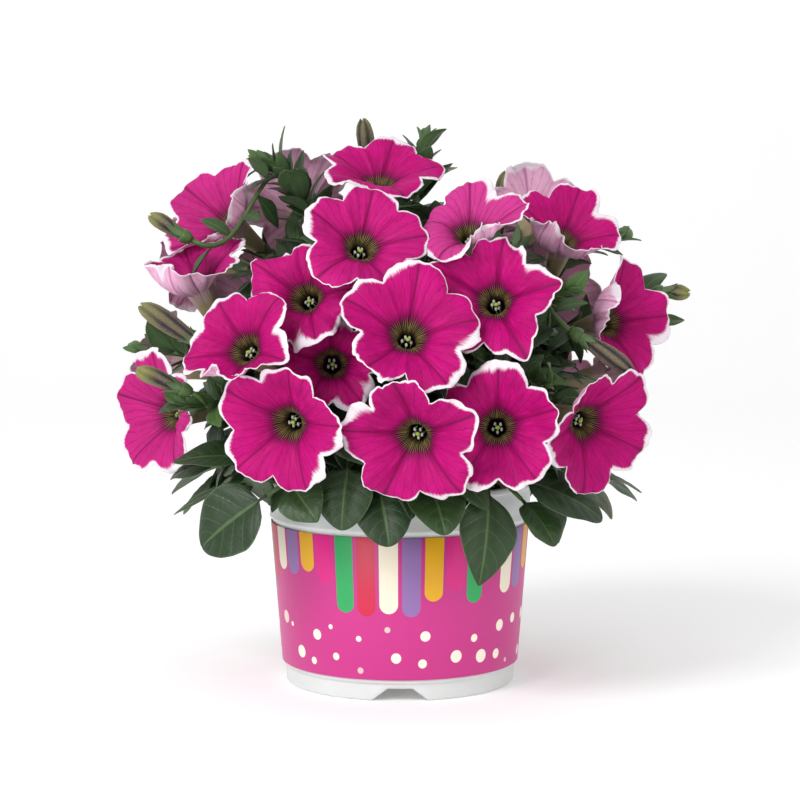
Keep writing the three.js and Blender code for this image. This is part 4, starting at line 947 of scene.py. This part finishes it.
STEM_RADIUS = 2.3
STALK_RADIUS = 1.1
SHOOT_RADIUS = 1.5
LEAF_FOOT = 0.12
LEAF_FOOT_RADIUS = 0.95
LEAF_FOOT_HALF_WIDTH = 0.8
LEAF_THICKNESS = 0.45
FINE_TAPER = 0.8
BROAD_TAPER = 0.55
LEAVES_PER_STEM = 7
GOLDEN_ANGLE = 137.5
STEM_LEAF_GRID = (16, 13)
SKIRT_LEAF_GRID = (30, 17)
SEPAL_GRID = (6, 5)
MATCH_WITHIN = 0.6
BLOOM_SEPAL_LENGTH = 11.0
BUD_SEPAL_LENGTH = 7.7
CALYX_CUP = [(1.8, -4.2), (2.5, -3), (3.1, -1.4), (3.3, 0.2), (2.9, 0.9)]
ATTACH_SHARES = [0.62, 0.72, 0.52, 0.82, 0.44, 0.36, 0.9, 0.28, 0.2]
SLACKS = [1, 1.25, 0.8, 1.5, 0.6]
SHOOT_SHARES = [0.2, 0.3, 0.12, 0.4, 0.5, 0.6]
UP = np.array([0, 0, 1.0])

# The stems' tips, as places on the mound.
STEM_TIPS = [
    (-55, 5, 1.1), (-95, 13, 1.2), (-92, 60, 1.2), (155, 77, 1.16), (105, 35, 1.27), (57, 32, 1),
    (38, 12, 1), (97, 18, 1.24), (134, 20, 1.02), (176, 17, 1.06), (-140, 16, 1.04), (2, 8, 0.72),
]

# Large lower leaves that hang over the rim: their foot and point as degrees round the pot, mm out and
# mm up, the way the upper side looks, their width and how far they droop.
SKIRT_LEAVES = [
    ((-40, 88, 93), (-56, 103, 69), (-25, 20), 31, 30),
    ((-54, 80, 97), (-66, 108, 81), (-60, 75), 14, 25),
    ((-56, 78, 106), (-66, 108, 104), (-30, 60), 19, 30),
    ((-68, 84, 102), (-76, 108, 98), (-50, 60), 20, 40),
    ((-34, 84, 99), (-22, 92, 84), (-20, 30), 20, 30),
    ((-17, 74, 108), (-18, 94, 84), (-12, 22), 25, 35),
    ((-8, 66, 98), (-1, 91, 81), (-4, 40), 26, 55),
    ((10, 66, 98), (12, 91, 79), (8, 40), 24, 55),
    ((30, 76, 97), (21, 92, 57), (22, 12), 25, 30),
    ((39, 80, 99), (56, 105, 81), (30, 45), 23, 40),
    ((42, 78, 90), (44, 95, 71), (40, 25), 19, 35),
    ((52, 78, 92), (54, 95, 74), (50, 30), 16, 35),
    ((62, 88, 100), (74, 111, 89), (60, 75), 13, 30),
    ((84, 72, 97), (86, 107, 82), (84, 45), 28, 45),
    ((104, 72, 97), (100, 99, 70), (104, 30), 29, 45),
    ((124, 70, 96), (128, 105, 80), (124, 45), 28, 45),
    ((146, 72, 97), (144, 100, 69), (146, 30), 30, 45),
    ((168, 70, 96), (172, 106, 80), (168, 45), 28, 45),
    ((-170, 72, 97), (-166, 100, 70), (-170, 30), 30, 45),
    ((-148, 70, 96), (-152, 105, 80), (-148, 45), 28, 45),
    ((-126, 72, 97), (-124, 100, 70), (-126, 30), 29, 45),
    ((-102, 72, 98), (-98, 106, 82), (-102, 45), 28, 45),
    ((-84, 76, 94), (-86, 98, 76), (-80, 35), 20, 40),
]

# Degrees that a leaf turns and rises, and its length, where it gives way to another piece.
LEAF_POSES = [
    (0, 0, 1), (15, -8, 1), (-15, -8, 1), (0, -24, 0.95), (0, 20, 0.95), (32, 4, 0.9),
    (-32, 4, 0.9), (0, -45, 0.85), (24, 32, 0.8), (-24, 32, 0.8), (55, -20, 0.75), (-55, -20, 0.75),
    (0, 0, 0.62), (30, -35, 0.6), (-30, -35, 0.6), (0, 50, 0.6),
]


def curve_point(controls, t):
    """The point at share t along a smooth curve with three or four control points, each weighed by
    its term of ((1 - t) + t) to the power of two or three."""
    t = np.asarray(t, float)[..., None]
    if len(controls) == 3:
        a, b, c = controls
        return (1 - t) ** 2 * a + 2 * t * (1 - t) * b + t * t * c
    a, b, c, d = controls
    return (1 - t) ** 3 * a + 3 * t * (1 - t) ** 2 * b + 3 * t * t * (1 - t) * c + t**3 * d


def curve_aim(controls, t):
    """The unit direction of such a curve, from two points a small step apart."""
    low, high = np.clip(t - 1e-4, 0, 1), np.clip(t + 1e-4, 0, 1)
    return unit(curve_point(controls, high) - curve_point(controls, low))


def stem_curve(tip):
    """A stem's three control points: it leaves the peat near the middle and arches out to its tip."""
    flat = tip * [1, 1, 0]
    reach = np.linalg.norm(flat)
    foot = flat / reach * (4 + 0.2 * reach) + [0, 0, SOIL_TOP - 8]
    bend = flat * 0.42 + [0, 0, SOIL_TOP + 0.82 * (tip[2] - SOIL_TOP) + 16]
    return np.stack([foot, bend, tip])


def stalk_part(curve, steps, columns, radius_at, tint, swell=0.0):
    """A round stalk along a curve: rings square to it, carried on from a fixed side direction. A
    small wave of its radius stands for its nodes."""
    t = np.linspace(0, 1, steps + 1)
    centres = curve_point(curve, t)
    forward = np.array([curve_aim(curve, share) for share in t])
    side = unit(np.cross(forward, unit(np.cross(forward[0], [0.3, 0.5, 0.81]))))
    across = np.cross(side, forward)
    angle = np.arange(columns) / columns * 2 * np.pi
    r = radius_at(t)[:, None, None] * (1 + swell * np.sin(t * 40)[:, None, None])
    ring = np.cos(angle)[:, None] * across[:, None] + np.sin(angle)[:, None] * side[:, None]
    if np.cross(across[0], side[0]) @ forward[0] < 0:
        ring = ring[:, ::-1]
    rings = centres[:, None] + r * ring
    return skin(rings, centres[0], centres[-1], across=1, along=0, under=0, tint=tint, stalk=1)


def make_leaf(foot, point, face, width, droop, fold):
    """A leaf's frame: it runs from its foot to its point on an arc of `droop` degrees, and its upper
    side looks towards `face`. A narrow blade, or a fairly flat one of middling width, tapers more."""
    half = math.radians(droop) / 2
    chord = point - foot
    length = float(np.linalg.norm(chord))
    ahead = chord / length
    side = unit(np.cross(ahead, face))
    start = ahead * math.cos(half) + np.cross(side, ahead) * math.sin(half)
    return {
        "foot": foot,
        "start": start,
        "side": side,
        "normal": np.cross(side, start),
        "length": length * half / math.sin(half),
        "width": width,
        "droop": math.radians(droop),
        "fold": fold,
        "taper": FINE_TAPER if width < 18 or droop < 31 and width < 27 else BROAD_TAPER,
    }


def leaf_normal(leaf, u):
    """The blade's upward direction at share u: its first one turned by that share of the droop."""
    turn = np.asarray(leaf["droop"] * u)[..., None]
    return leaf["normal"] * np.cos(turn) + leaf["start"] * np.sin(turn)


def leaf_point(leaf, u, v):
    """The point at share u along the blade and v from -1 to 1 across it: an arc, widened by an oval
    of sin(pi q^0.78) to the power of its taper, whose halves rise from the midrib by the fold."""
    u, v = np.broadcast_arrays(np.asarray(u, float), np.asarray(v, float))
    turn = leaf["droop"] * u
    q = np.clip((u - LEAF_FOOT) / (1 - LEAF_FOOT), 0, 1)
    oval = np.maximum(0, np.sin(np.pi * q**0.78)) ** leaf["taper"]
    half = LEAF_FOOT_HALF_WIDTH * (1 - u) + leaf["width"] / 2 * oval
    scale = leaf["length"] / leaf["droop"]
    return (
        leaf["foot"]
        + leaf["start"] * (scale * np.sin(turn))[..., None]
        + leaf["normal"] * (scale * (np.cos(turn) - 1))[..., None]
        + leaf["side"] * (half * v)[..., None]
        + leaf_normal(leaf, u) * (leaf["fold"] * half * np.abs(v))[..., None]
    )


def leaf_part(leaf, grid, tint, seed):
    """The blade as rings round its section, upper side first. A groove follows its midrib, it is
    puffed up between its side veins, and its margin waves."""
    rows, points_across = grid
    phases = np.random.default_rng(seed).random(4) * 2 * np.pi
    u = 1 - 0.99 * (1 - np.arange(rows)[:, None] / rows) ** 1.5
    top_v = np.sin(np.linspace(-1, 1, points_across) * np.pi / 2)
    v = np.concatenate([top_v, top_v[-2:0:-1]])
    is_under = np.concatenate([np.zeros(points_across), np.ones(points_across - 2)])
    away = np.abs(v)
    waist = np.sin(np.pi * np.clip(u, 0, 1)) ** 0.6
    size = leaf["width"] / 25
    puff = np.abs(np.sin(np.pi * (6.5 * u - 1.5 * away**1.2))) ** 0.7 * np.sin(np.pi * away) * 0.75
    groove = -0.9 * np.exp(-((away / 0.13) ** 2)) * (1 - u)
    slow_wave = 0.9 * np.sin(9 * u + phases[0] + 2.6 * (v > 0))
    quick_wave = 0.15 * np.sin(21 * u + phases[1] * (1 + (v > 0)))
    curl = -1.1 * away**2.5 * (1 + 0.6 * math.sin(phases[2]))
    lift = (puff + groove + away**3 * (slow_wave + quick_wave) + curl) * waist * size
    rib = 0.55 * size * np.exp(-((away / 0.1) ** 2)) * is_under * (1 - u)
    half_thick = LEAF_THICKNESS / 2 * (1 - 0.55 * away**2) + rib
    lift = lift + half_thick * np.where(is_under > 0, -1, 1)
    jag = 1 + 0.012 * np.sin(17 * u + phases[3]) + 0.006 * np.sin(41 * u + phases[0])
    rings = leaf_point(leaf, u, v * jag) + leaf_normal(leaf, u) * lift[..., None]
    foot, point = leaf_point(leaf, 0.0, 0.0), leaf_point(leaf, 1.0, 0.0)
    return skin(rings, foot, point, across=away[None], along=u, under=is_under[None], tint=tint, stalk=0)


def turned(direction, turn, rise):
    """A direction turned about the vertical and then raised towards it, by degrees."""
    aim = np.array(Matrix.Rotation(math.radians(turn), 3, "Z")) @ direction
    level = np.cross(aim, UP)
    return np.array(Matrix.Rotation(math.radians(rise), 3, Vector(level))) @ aim


def stem_leaf(number, curve, i, pose):
    """Leaf i of a stem: each stands a golden angle round from the last, large low down, small above."""
    random = draws(1000 + number * 50 + i, 5)
    t = 0.14 + 0.86 * (i / (LEAVES_PER_STEM - 1)) ** 0.8
    round_stem = i * GOLDEN_ANGLE + number * 61 + 24 * random[0]
    length = (0.88 + 0.22 * random[1]) * (50 - 34 * t**1.2) * pose[2]
    width = length * (0.62 + 0.12 * random[2] - 0.26 * t)
    along = curve_aim(curve, t)
    foot = curve_point(curve, t)
    spread = around(frame_at(np.zeros(3), along), 1, round_stem, 0)
    aim = turned(unit(spread + along * (0.35 + 0.5 * t) + UP * 0.25), pose[0], pose[1])
    face = along * 0.7 + UP * 0.6
    return make_leaf(foot, foot + aim * length, face, width, 25 + 35 * random[3], 0.12 + 0.22 * random[4])


def skirt_leaf(row, pose):
    """One of the large lower leaves, in a pose."""
    foot_place, point_place, face, width, droop = row
    foot = heading(foot_place[0], 0) * foot_place[1] + UP * foot_place[2]
    point = heading(point_place[0], 0) * point_place[1] + UP * point_place[2]
    length = float(np.linalg.norm(point - foot)) * pose[2]
    ahead = turned(unit(point - foot), pose[0], pose[1])
    return make_leaf(foot, foot + ahead * length, heading(*face), width * pose[2], droop, 0.16)


class NodePoints:
    """A CAD node's vertices, to find what stands on them."""

    def __init__(self, name):
        points = node_points(name)
        self.tree = KDTree(len(points))
        for number, point in enumerate(points):
            self.tree.insert(point, number)
        self.tree.balance()

    def point_gap(self, leaf):
        """The distance in mm from a leaf's point to the nearest vertex."""
        return self.tree.find(leaf_point(leaf, 1.0, 0.0))[2]

    def ring_gap(self, centre, radius, count):
        """How far the nearest vertices are from standing on a ring round a centre."""
        return max(abs(found[2] - radius) for found in self.tree.find_n(centre, count))


stems = []
for number, tip in enumerate(STEM_TIPS):
    name = f"leafy_stem_{number + 1:02d}"
    curve = stem_curve(on_mound(tip))
    rod = stalk_part(curve, 28, 10, lambda t: STEM_RADIUS * (1 - 0.5 * t), 0.55, 0.05)
    stems.append({"name": name, "curve": curve, "parts": [rod], "points": NodePoints(name)})


def find_stalk(end, facing):
    """The stem and curve of the stalk, from its place on the stem and its slack, that stands on the
    CAD node's vertices a third and two thirds of the way along it."""
    choices = []
    for stem in stems:
        for t in ATTACH_SHARES:
            start = curve_point(stem["curve"], t)
            tangent = curve_aim(stem["curve"], t)
            for slack in SLACKS:
                reach = np.linalg.norm(start - end) * slack
                away = start + tangent * 0.4 * reach
                choices.append((stem, np.stack([start, away, end - facing * 0.45 * reach, end])))

    def stalk_gap(choice):
        stem, curve = choice
        return max(
            stem["points"].ring_gap(curve_point(curve, share), STALK_RADIUS * (1.1 + 0.5 * share), 5)
            for share in (1 / 3, 2 / 3)
        )

    return closest(choices, stalk_gap, 3)[0]


def calyx_parts(flower, length, tint, seed):
    """The cup that holds a flower's foot, and its five spatula-shaped sepals, curved out and back."""
    random = np.random.default_rng(seed)
    r, w = np.array(CALYX_CUP).T[:, :, None]
    turn = np.arange(15) * 24.0
    cup = around(flower, r * (1 + 0.05 * np.cos(np.radians(turn * 5))), turn, w)
    low, high = around(flower, 0, 0, -4.2), around(flower, 0, 0, 0.6)
    parts = [skin(cup, low, high, across=1, along=0, under=0, tint=tint, stalk=1)]
    for sepal in range(5):
        turn = sepal * 72 + random.uniform(-7, 7)
        foot = around(flower, 2.2, turn, -1.5)
        reach = length * random.uniform(0.9, 1.12)
        point = around(flower, reach * random.uniform(0.48, 0.66), turn, reach)
        face = around(flower, 1, turn + 180, 0.3) - flower[0]
        leaf = make_leaf(foot, point, face, length * 0.36, 42, 0.1)
        parts.append(leaf_part(leaf, SEPAL_GRID, tint, seed + sepal))
    return parts


flowers = []
for bloom in blooms:
    foot = around(bloom["frame"], 0, 0, -TUBE_LENGTH)
    flowers.append((frame_at(foot, bloom["frame"][3]), BLOOM_SEPAL_LENGTH))
flowers += [(bud["frame"], BUD_SEPAL_LENGTH) for bud in buds]
stalks = []
for index, (flower, sepal_length) in enumerate(flowers):
    stem, curve = find_stalk(around(flower, 0, 0, -4), flower[3])
    stem["parts"].append(stalk_part(curve, 14, 8, lambda t: STALK_RADIUS * (0.75 + 0.35 * t), 0.6, 0.02))
    stem["parts"] += calyx_parts(flower, sepal_length, 0.5, 500 + 10 * index)
    stalks.append(curve)

for row_number, row in enumerate(SKIRT_LEAVES):
    choices = [(leaf, stem) for leaf in [skirt_leaf(row, pose) for pose in LEAF_POSES] for stem in stems]
    (leaf, stem), _ = closest(choices, lambda choice: choice[1]["points"].point_gap(choice[0]), 2)
    shoots = []
    for t in SHOOT_SHARES:
        start = curve_point(stem["curve"], t)
        reach = float(np.linalg.norm(start - leaf["foot"]))
        away = start + curve_aim(stem["curve"], t) * 0.35 * reach
        shoots.append(np.stack([start, away, leaf["foot"] - leaf["start"] * 0.4 * reach, leaf["foot"]]))
    third_radius = SHOOT_RADIUS + (LEAF_FOOT_RADIUS - SHOOT_RADIUS) / 3
    shoot = min(shoots, key=lambda curve: stem["points"].ring_gap(curve_point(curve, 1 / 3), third_radius, 3))
    stem["parts"].append(
        stalk_part(shoot, 10, 8, lambda t: SHOOT_RADIUS + (LEAF_FOOT_RADIUS - SHOOT_RADIUS) * t, 0.5)
    )
    tint = 0.02 + 0.22 * draws(row_number, 1)[0]
    stem["parts"].append(leaf_part(leaf, SKIRT_LEAF_GRID, tint, 900 + row_number))

for number, stem in enumerate(stems):
    for i in range(LEAVES_PER_STEM):
        choices = [stem_leaf(number, stem["curve"], i, pose) for pose in LEAF_POSES]
        leaf, gap = closest(choices, stem["points"].point_gap, 2)
        if gap < MATCH_WITHIN:
            seed = 2000 + number * 10 + i
            stem["parts"].append(leaf_part(leaf, STEM_LEAF_GRID, 0.2 + 0.08 * i, seed))

# Leaf tissue: dark, slightly blue green, softly downy, with paler midrib and side veins that stand
# out in relief; young leaves are yellower, backs and stalks paler.
leaf_tissue, tree = start_material("downy_leaf_tissue")
place = add_node(tree, "TexCoord").outputs["Object"]
across, along, under, tint, stalk = [
    add_node(tree, "Attribute", attribute_name=key).outputs["Fac"]
    for key in ("across", "along", "under", "tint", "stalk")
]
mottle = add_node(tree, "TexNoise", {"Vector": place, "Scale": 160.0, "Detail": 6.0})
down = add_node(tree, "TexNoise", {"Vector": place, "Scale": 1100.0, "Detail": 3.0})
old_green = add_node(tree, "Mix", {0: mottle, 6: linear("#0B1A0A"), 7: linear("#213B1F")}, data_type="RGBA")
bent_out = add_node(tree, "Math", {0: across, 1: 1.2}, operation="POWER")
lean = add_node(tree, "Math", {0: bent_out, 1: -1.5}, operation="MULTIPLY")
vein_count = add_node(tree, "Math", {0: along, 1: 6.5, 2: lean}, operation="MULTIPLY_ADD")
vein_wave = add_node(tree, "Math", {0: vein_count, 1: 0.5}, operation="PINGPONG")
side_vein = add_node(
    tree,
    "MapRange",
    {"Value": vein_wave, "From Min": 0.08, "From Max": 0.0, "To Max": 0.4},
    interpolation_type="SMOOTHSTEP",
)
midrib = add_node(
    tree, "MapRange", {"Value": across, "From Min": 0.08, "From Max": 0.02}, interpolation_type="SMOOTHSTEP"
)
veins = add_node(tree, "Math", {0: side_vein, 1: midrib}, operation="MAXIMUM")
vein_share = add_node(tree, "Math", {0: veins, 1: 0.36}, operation="MULTIPLY")
edge_mask = add_node(tree, "MapRange", {"Value": across, "From Min": 0.94, "From Max": 1.0, "To Max": 0.4})
back_share = add_node(tree, "Math", {0: under, 1: 0.45}, operation="MULTIPLY")
# Over the old green lie a young leaf's green, the veins, the pale edge and the back's grey green.
blade = old_green
greens = ((tint, "#4B6E2F"), (vein_share, "#6C8A52"), (edge_mask, "#6A8552"), (back_share, "#667F5A"))
for share, green in greens:
    blade = add_node(tree, "Mix", {0: share, 6: blade, 7: linear(green)}, data_type="RGBA")
stalk_tone = add_node(tree, "Mix", {0: mottle, 6: linear("#2C421E"), 7: linear("#4F6B33")}, data_type="RGBA")
leaf_colour = add_node(tree, "Mix", {0: stalk, 6: blade, 7: stalk_tone}, data_type="RGBA")
leaf_relief = add_node(tree, "Math", {0: veins, 1: -0.8, 2: down}, operation="MULTIPLY_ADD")
leaf_bump = add_node(tree, "Bump", {"Height": leaf_relief, "Strength": 0.4, "Distance": 0.0005})
leaf_shader = add_node(
    tree,
    "BsdfPrincipled",
    {
        "Base Color": leaf_colour,
        "Roughness": 0.42,
        "Sheen Weight": 0.07,
        "Sheen Roughness": 0.5,
        "Sheen Tint": linear("#C9D8C4"),
        "Specular IOR Level": 0.4,
        "Normal": leaf_bump,
    },
)
add_node(tree, "OutputMaterial", {"Surface": leaf_shader})

for stem in stems:
    build_piece(stem["name"] + "_foliage", stem["parts"], leaf_tissue, [stem["name"]])

# Small leaves
# Young narrow leaves crowd round each stem's tip, pairs stand on the flowers' own stalks, and shaded
# ones on thin stalks fill the plant between the blooms. Each stands clear of blooms, buds and pot.

TIP_LEAVES = [20, 15, 30, 14, 12, 24, 18, 15, 12, 12, 12, 8]
SMALL_LEAF_GRID = (8, 5)
TIP_TRIES = 7
NODE_GAP = 9
NODE_TRIES = 11
NODE_LEAF_REACH = 1.4
SHADED_TRIES = 9000
SHADED_MOST = 460
SHADED_SPACING = 7.5
SHADED_STALK_MOST = 60
LEAF_ROOM = 0.8
SHADED_LEAF_ROOM = 1.3
SHADED_STALK_ROOM = 0.7

obstacle_points = []
obstacle_faces = []
for name, node in frame["nodes"].items():
    if name.startswith("leafy_stem") or name == "soil":
        continue
    first = sum(len(points) for points in obstacle_points)
    obstacle_points.append(node_points(name))
    obstacle_faces += [[first + corner for corner in face.vertices] for face in node.data.polygons]
obstacles = BVHTree.FromPolygons(np.concatenate(obstacle_points).tolist(), obstacle_faces)


def is_clear(points, room):
    """Whether every point is at least `room` mm from the blooms, buds, pot and label."""
    return all(obstacles.find_nearest(Vector(point), room)[0] is None for point in points)


def leaf_clear(leaf, room):
    """Whether a leaf's blade is clear, tried at 15 points."""
    u, v = np.meshgrid([0.25, 0.45, 0.65, 0.85, 1.0], [-0.95, 0, 0.95])
    return is_clear(leaf_point(leaf, u, v).reshape(-1, 3), room)


def mound_share(point):
    """How far out a point is as a share of the plant's dome."""
    return float(np.linalg.norm((point - DOME_CENTRE) / DOME_RADII))


draw = np.random.default_rng(77)
small_leaves = []
for number, stem in enumerate(stems):
    most = TIP_LEAVES[number]
    for j in range(most):
        q = j / (most - 1)
        t = 0.5 + 0.5 * q**0.75
        along = curve_aim(stem["curve"], t)
        foot = curve_point(stem["curve"], t)
        length = (25 - 15 * q) * draw.uniform(0.85, 1.15)
        droop = draw.uniform(20, 55) * (1 - 0.5 * q)
        face = along * 0.8 + UP * 0.5
        for attempt in range(TIP_TRIES):
            turn = j * GOLDEN_ANGLE + number * 40 + attempt * 51
            spread = around(frame_at(np.zeros(3), along), 1, turn, 0)
            ahead = unit(spread * (1.1 - 0.75 * q) + along * (0.4 + 0.7 * q) + UP * 0.2)
            size = length * (1 - 0.06 * attempt)
            leaf = make_leaf(foot, foot + ahead * size, face, size * (0.5 - 0.12 * q), droop, 0.22)
            if leaf_clear(leaf, LEAF_ROOM):
                seed = 5000 + number * 40 + j
                small_leaves.append(leaf_part(leaf, SMALL_LEAF_GRID, 0.2 + 0.55 * q**3, seed))
                break

for number, curve in enumerate(stalks):
    nodes = float(np.linalg.norm(curve[-1] - curve[0])) / NODE_GAP
    for j in range(int(nodes)):
        t = (j + 0.7) / (nodes + 0.6)
        along = curve_aim(curve, t)
        foot = curve_point(curve, t)
        face = along * 0.6 + UP
        for attempt in range(NODE_TRIES):
            turn = j * GOLDEN_ANGLE + number * 77 + attempt * 57
            spread = around(frame_at(np.zeros(3), along), 1, turn, 0)
            ahead = unit(spread + along * 0.5 + UP * 0.35)
            size = draw.uniform(14, 23) * (1 - 0.06 * attempt)
            point = foot + ahead * size
            leaf = make_leaf(foot, point, face, size * 0.46, draw.uniform(20, 50), 0.2)
            if mound_share(point) < NODE_LEAF_REACH and leaf_clear(leaf, LEAF_ROOM):
                seed = 6000 + number * 20 + j
                small_leaves.append(leaf_part(leaf, SMALL_LEAF_GRID, 0.1 + 0.3 * t, seed))
                break

anchor_shares = np.linspace(0.12, 0.95, 24)
anchors = np.concatenate([curve_point(stem["curve"], anchor_shares) for stem in stems])
anchor_aims = np.array([curve_aim(stem["curve"], t) for stem in stems for t in anchor_shares])
taken = np.zeros((0, 3))
for attempt in range(SHADED_TRIES):
    azimuth = draw.uniform(-180, 180)
    elevation = math.degrees(math.asin(draw.uniform(-0.4, 1)))
    share = draw.uniform(0.52, 0.9)
    length = draw.uniform(17, 31)
    out = unit(heading(azimuth, elevation) / DOME_RADII)
    foot = on_mound((azimuth, elevation, share))
    nearest = np.argmin(np.linalg.norm(anchors - foot, axis=1) + 0.2 * np.abs(anchors[:, 2] - foot[2]))
    anchor = anchors[nearest]
    reach = float(np.linalg.norm(foot - anchor))
    ahead = unit(out + 0.5 * unit(foot - anchor) + 0.75 * draw.standard_normal(3) - UP * 0.15)
    face = unit(UP * 0.9 + out * 0.7 + 0.3 * draw.standard_normal(3))
    width = length * draw.uniform(0.5, 0.66)
    leaf = make_leaf(foot, foot + ahead * length, face, width, draw.uniform(25, 60), 0.2)
    middle = leaf_point(leaf, 0.5, 0.0)
    if len(small_leaves) > sum(TIP_LEAVES) + SHADED_MOST * 2 or reach > SHADED_STALK_MOST:
        continue
    if mound_share(leaf_point(leaf, 1.0, 0.0)) > 0.99 or middle[2] < SOIL_TOP + 6:
        continue
    if len(taken) and np.linalg.norm(taken - middle, axis=1).min() < SHADED_SPACING:
        continue
    if not leaf_clear(leaf, SHADED_LEAF_ROOM):
        continue
    away = anchor + anchor_aims[nearest] * 0.35 * reach
    curve = np.stack([anchor, away, foot - leaf["start"] * 0.35 * reach, foot])
    if not is_clear(curve_point(curve, np.linspace(0.15, 1, 7)), SHADED_STALK_ROOM):
        continue
    taken = np.append(taken, [middle], 0)
    tint = draw.uniform(0.0, 0.35) * share
    small_leaves.append(leaf_part(leaf, SMALL_LEAF_GRID, tint, 7000 + attempt))
    small_leaves.append(stalk_part(curve, 6, 5, lambda t: 0.9 - 0.25 * t, 0.3))
build_piece("small_leaves", small_leaves, leaf_tissue)

# Studio
# A plain white paper sheet under and behind the plant, one large soft light from the upper left, two
# weaker ones from low on the left and from the right, and a nearly white surround.

LENS = 110
SENSOR = 36
CAMERA_PLACE = (0, -1.1, 0.235)
CAMERA_LOOKS_DOWN = 5.6

sheet_bend = np.linspace(0.1, np.pi / 2, 14)
sheet_y = np.concatenate([[-2.5, 1.2], 1.2 + 0.8 * np.sin(sheet_bend), [2.0]])
sheet_z = np.concatenate([[0, 0], 0.8 - 0.8 * np.cos(sheet_bend), [3.0]])
sheet_points = [(x, y, z) for y, z in zip(sheet_y, sheet_z) for x in (-3, 3)]
sheet_faces = [(2 * i, 2 * i + 1, 2 * i + 3, 2 * i + 2) for i in range(len(sheet_y) - 1)]
sheet_mesh = bpy.data.meshes.new("studio_sheet")
sheet_mesh.from_pydata(sheet_points, [], sheet_faces)
sheet_mesh.polygons.foreach_set("use_smooth", np.ones(len(sheet_faces), bool))

# Matt paper: plain white, with a faint light of its own that keeps the ground nearly white.
studio_paper, tree = start_material("matt_white_paper")
paper = add_node(
    tree,
    "BsdfPrincipled",
    {
        "Base Color": linear("#FAFAFA"),
        "Roughness": 0.9,
        "Emission Color": linear("#FFFFFF"),
        "Emission Strength": 0.12,
    },
)
add_node(tree, "OutputMaterial", {"Surface": paper})
sheet_mesh.materials.append(studio_paper)
sheet = bpy.data.objects.new("studio_sheet", sheet_mesh)
bpy.context.scene.collection.objects.link(sheet)


def add_softbox(name, place, aim, size, watts):
    """A square area light at a place in metres, turned to face an aim."""
    light = bpy.data.lights.new(name, "AREA")
    light.size = size
    light.energy = watts
    lamp = bpy.data.objects.new(name, light)
    lamp.location = place
    lamp.rotation_euler = (Vector(aim) - Vector(place)).to_track_quat("-Z", "Y").to_euler()
    bpy.context.scene.collection.objects.link(lamp)


add_softbox("key_softbox", (-0.9, -1.1, 1.3), (0, 0, 0.14), 0.7, 17)
add_softbox("front_softbox", (-0.7, -1.3, 0.35), (0, 0, 0.1), 0.5, 5)
add_softbox("fill_softbox", (1.3, -0.9, 0.7), (0, 0, 0.12), 1.0, 4)
world = bpy.data.worlds.new("studio_surround")
world.use_nodes = True
world.node_tree.nodes["Background"].inputs["Color"].default_value = (1, 1, 1, 1)
world.node_tree.nodes["Background"].inputs["Strength"].default_value = 0.66
bpy.context.scene.world = world
bpy.context.scene.view_settings.view_transform = "Standard"

camera_lens = bpy.data.cameras.new("camera")
camera_lens.lens = LENS
camera_lens.sensor_width = SENSOR
camera = bpy.data.objects.new("camera", camera_lens)
camera.location = CAMERA_PLACE
camera.rotation_euler = (math.radians(90 - CAMERA_LOOKS_DOWN), 0, 0)
bpy.context.scene.collection.objects.link(camera)
bpy.context.scene.camera = camera
